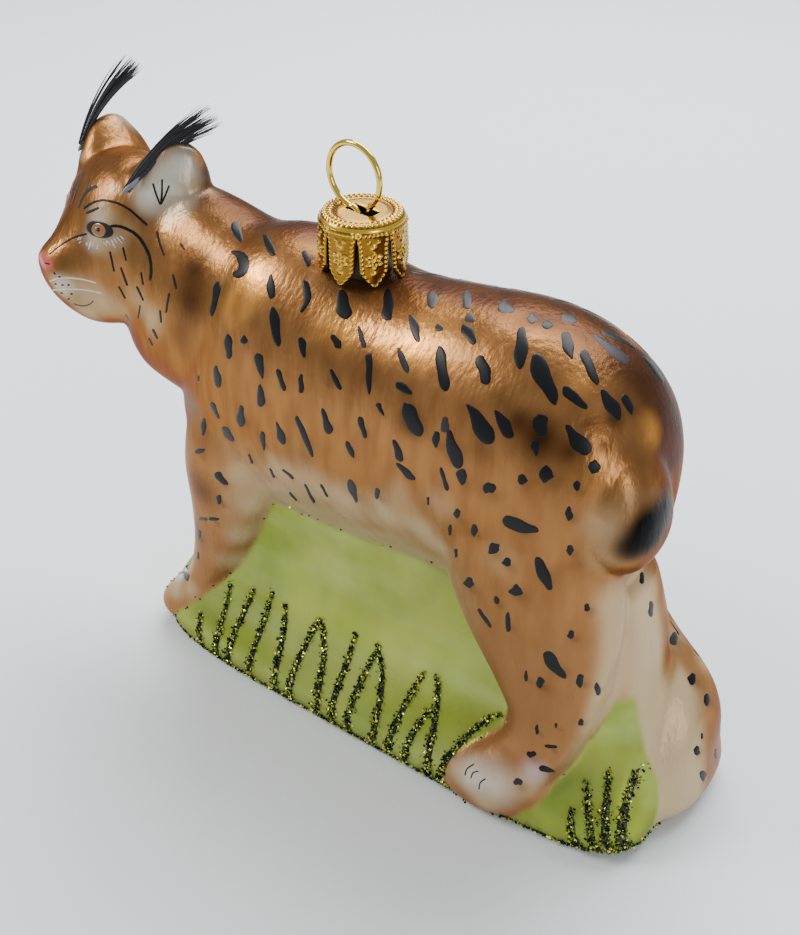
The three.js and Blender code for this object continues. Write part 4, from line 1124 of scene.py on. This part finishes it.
def grains(points, normals, name):
    # small flat octahedra lying at random tilts near the skin
    count = len(points)
    size = rng.uniform(*glitterShape["size"], count)
    spin = rng.normal(0, 1, (count, 3))
    axisA = np.cross(normals + glitterShape["tilt"] * spin, [0.3, 0.5, 0.8])
    axisA /= np.linalg.norm(axisA, axis=1, keepdims=True)
    axisC = np.cross(axisA, spin + normals)
    axisC /= np.linalg.norm(axisC, axis=1, keepdims=True)
    axisB = np.cross(axisC, axisA)
    axisC *= glitterShape["flat"]
    corners = np.stack([axisA, axisB, -axisA, -axisB, axisC, -axisC], 1) * size[:, None, None]
    grid = (points[:, None] + corners).reshape(-1, 3)
    shape = np.array([[0, 1, 4], [1, 2, 4], [2, 3, 4], [3, 0, 4], [1, 0, 5], [2, 1, 5], [3, 2, 5], [0, 3, 5]])
    faces = (shape[None] + 6 * np.arange(count)[:, None, None]).reshape(-1, 3)
    piece = addMesh(name, grid, faces.tolist(), smooth=False)
    keepValues(piece, "shade", np.repeat(rng.uniform(0, 1, count), corners.shape[1]))
    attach(piece, "root")
    return piece


places, ridges = [], MarkMesh()
farUntil = glitterShape["farUntil"]
for row, side in [(row, side) for row in bladeRows for side in (1, -1) if side == 1 or row[0] < farUntil]:
    count = int(glitterShape["perBlade"] * row[3] / glitterShape["fullTop"])
    t = rng.uniform(0, 1, count) ** glitterShape["bunch"]
    y, z = bladeLine(row, t)
    y = y + rng.normal(0, glitterShape["wander"], count) * (1 - 0.5 * t)
    z = z + rng.normal(0, glitterShape["wanderUp"], count)
    places.append(np.stack([side * (sideOfBase(y, z) + glitterShape["out"]), y, z], -1))
    t = np.linspace(0, 1, glitterShape["bedSteps"])[:, None]
    y, z = bladeLine(row, t)
    half = glitterShape["bedHalf"]
    across = np.linspace(-half, half, glitterShape["bedCols"])[None]
    y = y + across * (1 - glitterShape["bedTaper"] * t ** 3)
    z = z + 0 * y
    bed = np.stack([side * (sideOfBase(y, z) + glitterShape["bedOut"]), y, z], -1)
    ridges.add(*projectGrid(bed), 0, glitterShape["bedLift"])
ridgePiece = ridges.finish("grass_blades", "grass_glass")

# round the foot: the angle gives the side, and a run along that side is even, with |x|^p + |y|^p = 1
count, power = edgeGrains["count"], edgeGrains["power"]
angle = rng.uniform(0, 2 * math.pi, count)
edgeZ = np.clip(np.abs(rng.normal(edgeGrains["height"], edgeGrains["spread"], count)), *edgeGrains["span"])
half, front, back = baseSection(edgeZ)
sideRun = rng.uniform(-1, 1, count)
isLong = rng.uniform(0, 1, count) < edgeGrains["longShare"]
rest = (1 - np.abs(sideRun) ** power) ** (1 / power)
c = np.where(isLong, np.sign(np.cos(angle)) * rest, sideRun)
s = np.where(isLong, sideRun, np.sign(np.sin(angle)) * rest)
places.append(np.stack([half * c, (front + back) / 2 + (back - front) / 2 * s, edgeZ], -1))
low, high = edgeGrains["seamSpan"]
isSeam = (np.abs(fleshField - baseField) < edgeGrains["seam"]) & (skinZ < high) & (skinZ > low)
seam = np.flatnonzero(isSeam & (skinY < edgeGrains["seamUntil"]))
places.append(skinPoints[rng.choice(seam, min(edgeGrains["sparse"], len(seam)), replace=False)])
spots, normals = onSkin(np.concatenate(places))
lift = rng.uniform(*glitterShape["lift"], len(spots))[:, None]
lift[-edgeGrains["sparse"]:] = edgeGrains["seamLift"]
spots = spots + normals * lift
isClear = spots[:, 2] > glitterShape["size"][1]  # above the floor
glitterPiece = grains(spots[isClear], normals[isClear], "glitter")

print("tufts")
tufts = {
    # root, bend and tip on the head
    "left": ([1.6, 11.2, 14], [-5, 10.6, 20.6], [-16, 12, 25]),
    "right": ([2.1, -10.4, 14.8], [-2.4, -12.4, 22], [-11.4, -13, 27.6]),
}
tuftShape = {
    "bristles": 110, "clumps": 9, "steps": 10, "sides": 5,
    "thick": 0.13, "thickSpan": (0.8, 1.2), "taper": 0.85,
    "clumpSpread": 0.5, "inClump": 0.1, "rootSpread": 0.42, "kneeSpread": 0.8, "kneeWander": 0.15,
    "fan": 2.0, "depth": 0.9, "reach": (0.84, 1.0),
}
glueShape = {
    "steps": 14, "sides": 18, "half": 2.4, "start": 1.2, "thick": 0.52,
    "round": 0.98, "lump": 0.12, "waves": 5,
}


def bristleTuft(name, root, bend, tip):
    # bristles are thin tubes on curves (1-t)^2 root + 2t(1-t) bend + t^2 tip, each with its own offsets
    root, bend, tip = (onHead(*p) for p in (root, bend, tip))
    count, steps, sides = tuftShape["bristles"], tuftShape["steps"], tuftShape["sides"]
    line = (tip - root) / np.linalg.norm(tip - root)
    across = np.cross(line, leftward)
    across /= np.linalg.norm(across)
    depth = np.cross(across, line)
    clump = rng.integers(0, tuftShape["clumps"], count)
    clumps = rng.normal(0, tuftShape["clumpSpread"], (2, tuftShape["clumps"], 1)).clip(-1, 1)
    a, b = clumps[:, clump] + rng.normal(0, tuftShape["inClump"], (2, count, 1))
    reach = rng.uniform(*tuftShape["reach"], (count, 1))
    starts = root + tuftShape["rootSpread"] * (a * across + b * depth)
    wander = rng.normal(0, tuftShape["kneeWander"], (count, 1))
    knees = bend + (a * tuftShape["kneeSpread"] + wander) * across + b * 0.5 * depth
    fanned = a + rng.normal(0, tuftShape["inClump"], (count, 1))
    ends = root + (tip - root) * reach + tuftShape["fan"] * fanned * across + tuftShape["depth"] * b * depth
    t = np.linspace(0, 1, steps + 1)[None, :, None]
    middle = (1 - t) ** 2 * starts[:, None] + 2 * t * (1 - t) * knees[:, None] + t ** 2 * ends[:, None]
    angle = np.arange(sides) / sides * 2 * math.pi
    thick = tuftShape["thick"] * rng.uniform(*tuftShape["thickSpan"], (count, 1, 1))
    thick = thick * (1 - tuftShape["taper"] * t ** 3)
    ring = (np.cos(angle)[:, None] * across + np.sin(angle)[:, None] * depth)[None, None]
    grid = middle[:, :, None] + ring * thick[..., None]
    k = np.arange(count * (steps + 1) * sides).reshape(count, steps + 1, sides)
    n = np.roll(k, -1, axis=2)
    quads = np.stack([k[:, :-1], k[:, 1:], n[:, 1:], n[:, :-1]], -1).reshape(-1, 4)
    caps = np.concatenate([k[:, 0, ::-1], k[:, -1]])
    if np.cross(ring[0, 0, 0], ring[0, 0, 1]) @ line < 0:
        quads, caps = quads[:, ::-1], caps[:, ::-1]
    piece = addMesh(name, grid.reshape(-1, 3), quads[:, ::-1].tolist() + caps.tolist())
    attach(piece, "root")
    return piece, root, line


def glueDrop(name, root, line):
    # a lumpy drop along the line: round section, radius (1 - 0.98 t^2)^(1/2) times slow waves
    t = np.linspace(-1, 1, glueShape["steps"])[:, None, None]
    angle = np.arange(glueShape["sides"])[None, :, None] / glueShape["sides"] * 2 * math.pi
    across = np.cross(line, upward)
    across /= np.linalg.norm(across)
    other = np.cross(line, across)
    lumps = 1 + glueShape["lump"] * np.sin(glueShape["waves"] * t + 2 * angle)
    swell = np.sqrt(1 - t ** 2 * glueShape["round"]) * lumps * glueShape["thick"]
    along = root + line * (t * glueShape["half"] + glueShape["start"])
    drop = addClosed(name, along + (across * np.cos(angle) + other * np.sin(angle)) * swell)
    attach(drop, "root")
    return drop


bristleBlack = shaderMaterial("bristleBlack", (0.012, 0.012, 0.014), 0.0, 0.42)[0]
glue = shaderMaterial("glue", (0.16, 0.16, 0.20), 0.0, 0.4, 0.4)[0]
for side, curve in tufts.items():
    piece, root, line = bristleTuft("ear_tuft_" + side + "_bristles", *curve)
    wear(piece, bristleBlack)
    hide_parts("ear_tuft_" + side)
    wear(glueDrop("glue_" + side, root, line), glue)

print("hanger")
hangerY = -11.4
cap = {
    "radius": 7.0, "top": 98.0, "tips": 87.6, "panelTop": 97.0, "slitTop": 94.9, "thick": 0.35, "petals": 8,
    "turn": 5.6, "pointsFrom": 90.2, "slit": 0.28, "slitFoot": 0.5, "slitEnd": 0.08, "slitRound": 0.3,
    "flare": 0.24, "pointPower": 0.75, "edgeIn": 0.18, "edgeReach": 0.12, "cols": 44, "rows": 72,
}
crown = {
    "sides": 320, "steps": 90, "beadLift": 0.24, "beadsOver": 97.2,
    # radius, half width and count of each ring of beads
    "outerBeads": (6.25, 0.26, 46), "innerBeads": (5.3, 0.24, 38),
    "slotHalf": (2.8, 1.3), "slotPower": 8, "slotTurn": 85,
    "discRadius": 4.0, "discZ": 97.92, "discSteps": 10,
    "slotFoot": 97.2, "rimFrom": 6.7, "discRaised": 0.22,
    # radius and height
    "rows": [
        (7.0, 96.1), (7.0, 96.4), (6.98, 96.7), (6.96, 97.0), (6.86, 97.3), (6.62, 97.62), (6.36, 97.82),
        (6.1, 97.92), (5.86, 97.98), (5.62, 98.0), (5.38, 97.98), (5.14, 97.92), (4.9, 97.84), (4.7, 97.82),
        (4.4, 97.88), (4.0, 97.92),
    ],
}
# stamped relief: heights, then places and widths of the border, the floret and the dots
stamp = {
    "border": 0.24, "floret": 0.26, "dots": 0.28, "inset": 0.5, "line": 0.2, "beadRun": 0.74, "topRun": 0.7,
    "lobes": 6, "petalReach": 0.95, "petalSwing": 0.3, "petalLine": 0.26, "heart": 0.32, "heartLift": 1.2,
    "bigDot": 0.42, "bigDots": (-2.3, 2.1), "smallDot": 0.24, "smallDots": (-0.75, 0.75), "smallRow": 3.1,
}
gold, goldShader = shaderMaterial("stampedGold", (0.80, 0.52, 0.12), 1.0, 0.24)
wireGold = shaderMaterial("goldWire", (0.80, 0.56, 0.10), 1.0, 0.14)[0]


def hill(distance, reach):
    # exp(-(distance / reach)^2)
    return np.exp(-(distance / reach) ** 2)


def withRelief(piece, raised):
    # keeps how far each point stands out, so that the hollows can be darker as painted shade
    keepValues(piece, "raised", np.clip(raised, 0, 1))
    return piece


def capCrown():
    # turned profile with beads: radius and height by row, raised by cos(N angle) on the beaded rings
    sides = crown["sides"]
    angle = np.arange(sides) / sides * 2 * math.pi
    fine = smoothRows(crown["rows"], crown["steps"])
    r, z = fine[:, :1], fine[:, 1:]
    outer, inner = ((hill(r - at, wide), 0.5 + 0.5 * np.cos(beads * angle))
                    for at, wide, beads in (crown["outerBeads"], crown["innerBeads"]))
    bead = outer[0] * (z > crown["beadsOver"]) * outer[1] + inner[0] * inner[1]
    z = z + crown["beadLift"] * bead
    rings = [np.stack([r * np.cos(angle), r * np.sin(angle), z], -1)]
    # flat disc round the slot: circles turn into the slot's own outline
    c, s = around(sides, crown["slotPower"])
    long, wide = crown["slotHalf"]
    turn = math.radians(crown["slotTurn"])
    slotX = long * c * math.cos(turn) - wide * s * math.sin(turn)
    slotY = long * c * math.sin(turn) + wide * s * math.cos(turn)
    slot = np.stack([slotX, slotY], -1)
    spin = np.stack([np.cos(angle + turn), np.sin(angle + turn)], -1)
    for share in np.linspace(1 / crown["discSteps"], 1, crown["discSteps"]):
        flat = spin * crown["discRadius"] * (1 - share) + slot * share
        rings.append(np.column_stack([flat, np.full(sides, crown["discZ"])])[None])
    rings.append(np.column_stack([slot, np.full(sides, crown["slotFoot"])])[None])
    shift = int(round(turn / (2 * math.pi) * sides))
    grid = np.concatenate([rings[0]] + [np.roll(ring, shift, axis=1) for ring in rings[1:]]) + [0, hangerY, 0]
    k = np.arange(len(grid) * sides).reshape(-1, sides)
    n = np.roll(k, -1, axis=1)
    quads = np.stack([k[:-1], n[:-1], n[1:], k[1:]], -1).reshape(-1, 4)
    onProfile = (bead + (r > crown["rimFrom"]) + 0 * z).ravel()
    raised = np.append(onProfile, np.full((len(grid) - len(fine)) * sides, crown["discRaised"]))
    return withRelief(addMesh("cap_crown", grid.reshape(-1, 3), quads.tolist()), raised)


def petalRelief(p, q, half, length):
    # stamped relief in millimetres: beads along the border, a six-lobed floret, and a dot above and below it
    edge = half - np.abs(p)
    border = hill(edge - stamp["inset"], stamp["line"]) * beadWave(q, stamp["beadRun"])
    isTop = np.abs(p) < half - 0.4
    border = border + hill(q - stamp["inset"], stamp["line"]) * isTop * beadWave(p, stamp["topRun"])
    centre = length * 0.5
    r, turn = np.hypot(p, q - centre), np.arctan2(p, q - centre)
    lobe = stamp["petalReach"] * (1 + stamp["petalSwing"] * np.cos(stamp["lobes"] * turn))
    floret = hill(r - lobe, stamp["petalLine"]) + stamp["heartLift"] * hill(r, stamp["heart"])
    dots = sum(hill(np.hypot(p, q - centre - at), stamp["bigDot"]) for at in stamp["bigDots"])
    low = q - centre + stamp["smallRow"]
    dots = dots + sum(hill(np.hypot(p - at, low), stamp["smallDot"]) for at in stamp["smallDots"])
    return stamp["border"] * border + stamp["floret"] * floret + stamp["dots"] * dots


def beadWave(run, length):
    # 0.55 + 0.45 cos(2 pi run / length)
    return 0.55 + 0.45 * np.cos(2 * math.pi * run / length)


def capPetals():
    # eight panels: the angle runs across between the slits and the height runs down to a point
    u = np.linspace(-1, 1, cap["cols"])[None]
    v = np.linspace(0, 1, cap["rows"])[:, None]
    length = cap["panelTop"] - cap["tips"]
    z = cap["panelTop"] - length * v
    full = math.pi / cap["petals"] * cap["radius"]
    slitHeights = [cap["pointsFrom"], cap["slitTop"], cap["slitTop"] + cap["slitRound"]]
    slit = np.interp(z, slitHeights, [cap["slitFoot"], cap["slit"], cap["slitEnd"]])
    below = np.clip((cap["pointsFrom"] - z) / (cap["pointsFrom"] - cap["tips"]), 0, 1)
    half = (full - slit) * (1 - below) ** cap["pointPower"] + cap["slitEnd"]
    p, q = u * half, cap["panelTop"] - z + 0 * u
    relief = petalRelief(p, q, half, length)
    edgeIn = np.exp(-(half - np.abs(p)) / cap["edgeReach"]) * cap["edgeIn"]
    out = cap["radius"] + cap["flare"] * np.sin(v * math.pi / 2) + relief - edgeIn
    turns = np.arange(cap["petals"])[:, None, None] * 2 * math.pi / cap["petals"]
    angle = turns + math.radians(cap["turn"]) + p / cap["radius"]
    grid = np.stack([out * np.cos(angle), out * np.sin(angle) + hangerY, z + 0 * angle], -1)
    starts = np.arange(cap["petals"])[:, None, None] * relief.size
    faces = (openQuads(*relief.shape) + starts).reshape(-1, 4)
    raised = np.tile(relief.ravel() / stamp["border"], cap["petals"])
    return withRelief(addMesh("cap_petals", grid.reshape(-1, 3), faces.tolist()), raised)


for piece in (capCrown(), capPetals()):
    shell = piece.modifiers.new("wall", "SOLIDIFY")
    shell.thickness, shell.offset = cap["thick"] * mm, -1
    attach(piece, "root")
    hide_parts("hanger_cap")
    wear(piece, gold)

# the stamped gold goes darker towards the hollows of its relief: painted shade
goldLook = {"hollow": (0.26, 0.12, 0.012, 1), "high": (0.86, 0.53, 0.07, 1), "span": (0.02, 0.55, 0, 1)}
tree = gold.node_tree
hollowShade = node("ShaderNodeRGB")
hollowShade.outputs[0].default_value = goldLook["hollow"]
toHigh = mixed(remap(attribute("raised"), *goldLook["span"]), hollowShade.outputs[0], goldLook["high"])
tree.links.new(toHigh, goldShader.inputs["Base Color"])

wire = {
    "radius": 5.3, "thick": 0.52, "rise": 5.3, "turn": 85.0, "sway": 18.0, "opening": 20.0, "foot": 0.9,
    "pinch": 0.62, "arcSteps": 41, "steps": 220, "sides": 16,
}


def wireLoop():
    # most of a circle whose ends run down into the slot, swept by a round section
    opening = math.radians(wire["opening"])
    angle = -math.pi / 2 + opening + np.linspace(0, 1, wire["arcSteps"]) * 2 * (math.pi - opening)
    arc = np.stack([wire["radius"] * np.cos(angle), wire["rise"] + wire["radius"] * np.sin(angle)], -1)
    foot = arc[0, 0] * wire["pinch"]
    flat = smoothRows(np.concatenate([[(foot, -wire["foot"])], arc, [(-foot, -wire["foot"])]]), wire["steps"])
    sway, turn = math.radians(wire["sway"]), math.radians(wire["turn"])
    x, z = flat[:, 0], flat[:, 1]
    along, up = x * math.cos(sway) - z * math.sin(sway), x * math.sin(sway) + z * math.cos(sway)
    middle = np.stack([along * math.cos(turn), along * math.sin(turn) + hangerY, up + cap["top"]], -1)
    flatNormal = np.array([-math.sin(turn), math.cos(turn), 0])
    tangent = np.gradient(middle, axis=0)
    tangent /= np.linalg.norm(tangent, axis=1, keepdims=True)
    inward = np.cross(tangent, flatNormal)
    spin = (np.arange(wire["sides"]) / wire["sides"] * 2 * math.pi)[None, :, None]
    rings = middle[:, None] + wire["thick"] * (inward[:, None] * np.cos(spin) + flatNormal * np.sin(spin))
    return addClosed("wire_loop", rings)


neckTube = {
    "sides": 64, "steps": 60,
    # radius and height
    "rows": [
        (4.5, 84.6), (4.7, 86), (4.7, 90), (4.7, 94.6), (4.9, 95.2), (5.2, 95.8), (5.0, 96.2), (4.2, 96.1),
        (3.7, 95.6), (3.7, 92.4),
    ],
}


def glassTube():
    # a turned profile: radius times cosine and sine, and height
    r, z = smoothRows(neckTube["rows"], neckTube["steps"]).T[:, :, None]
    c, s = around(neckTube["sides"], 2)
    return addClosed("glass_neck_tube", np.stack([r * c, r * s + hangerY, z + 0 * c], -1))


# the glass neck under the cap: silvered glass, darkened nearly to black as painted shade in the gaps between
# the petals
glassNeck = glassTube()
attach(glassNeck, "root")
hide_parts("glass_neck")
wear(glassNeck, shaderMaterial("silveredGlassInPaintedShade", (0.035, 0.024, 0.014), 0.3, 0.5)[0])

ring = wireLoop()
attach(ring, "root")
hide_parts("hanger_loop")
wear(ring, wireGold)

# shares of the grains, from black through green to gold
fleckColors = [
    (0, (0.006, 0.009, 0.004, 1)), (0.36, (0.03, 0.06, 0.008, 1)),
    (0.6, (0.34, 0.40, 0.03, 1)), (0.86, (0.85, 0.80, 0.20, 1)),
]
grit, gritShader = shaderMaterial("glitterGrains", (0.02, 0.03, 0.01), 0.7, 0.22)
tree = grit.node_tree
stops = node("ShaderNodeValToRGB")
stops.color_ramp.interpolation = "CONSTANT"
elements = stops.color_ramp.elements
for element, (position, color) in zip(list(elements), fleckColors):
    element.position, element.color = position, color
for position, color in fleckColors[2:]:
    elements.new(position).color = color
tree.links.new(attribute("shade"), stops.inputs["Fac"])
tree.links.new(stops.outputs["Color"], gritShader.inputs["Base Color"])
wear(glitterPiece, grit)
wear(ridgePiece, shaderMaterial("gritBed", (0.012, 0.02, 0.004), 0.1, 0.45)[0])

print("floor and light")
floorLook = {
    "reach": 2500, "color": (0.80, 0.83, 0.845), "roughness": 0.85,
    "grain": (1800, 5200, 1), "grainTurn": 28, "grainDepth": 0.25, "grainLift": 0.2,
}
studio = {"color": (0.82, 0.88, 0.94), "strength": 0.56}
far = floorLook["reach"]
floor = addMesh("floor", [(-far, -far, 0), (far, -far, 0), (far, far, 0), (-far, far, 0)], [(0, 1, 2, 3)])
paleMatt, floorShader = shaderMaterial("paleMatt", floorLook["color"], 0.0, floorLook["roughness"])
tree = paleMatt.node_tree
place = node("ShaderNodeTexCoord").outputs["Object"]
grain = noise(scaled(place, floorLook["grain"], (0, 0, math.radians(floorLook["grainTurn"]))), 2.0)
nap = node("ShaderNodeBump")
nap.inputs["Strength"].default_value = floorLook["grainDepth"]
nap.inputs["Distance"].default_value = floorLook["grainLift"] * mm
tree.links.new(grain, nap.inputs["Height"])
tree.links.new(nap.outputs["Normal"], floorShader.inputs["Normal"])
wear(floor, paleMatt)

world = bpy.data.worlds.new("studio")
bpy.context.scene.world = world
world.use_nodes = True
sky = world.node_tree.nodes["Background"]
sky.inputs["Color"].default_value = (*studio["color"], 1)
sky.inputs["Strength"].default_value = studio["strength"]

lamps = [
    # name, place in metres, aim, size, watts, colour
    ("keyLight", (0.26, -0.50, 0.52), (0, 0, 0.06), (0.22, 0.22), 3.2, (1.0, 0.98, 0.95)),
    ("topLight", (-0.42, -0.10, 0.62), (0, 0, 0.05), (0.7, 0.5), 11.0, (0.95, 0.97, 1.0)),
    ("rearLight", (0.25, 0.60, 0.30), (0, 0, 0.06), (0.2, 0.3), 1.2, (1.0, 0.98, 0.96)),
]
for name, where, aim, size, watts, color in lamps:
    data = bpy.data.lights.new(name, "AREA")
    data.shape = "RECTANGLE"
    data.size, data.size_y = size
    data.energy, data.color = watts, color
    lamp = bpy.data.objects.new(name, data)
    lamp.location = where
    lamp.rotation_euler = (Vector(aim) - Vector(where)).to_track_quat("-Z", "Y").to_euler()
    bpy.context.collection.objects.link(lamp)
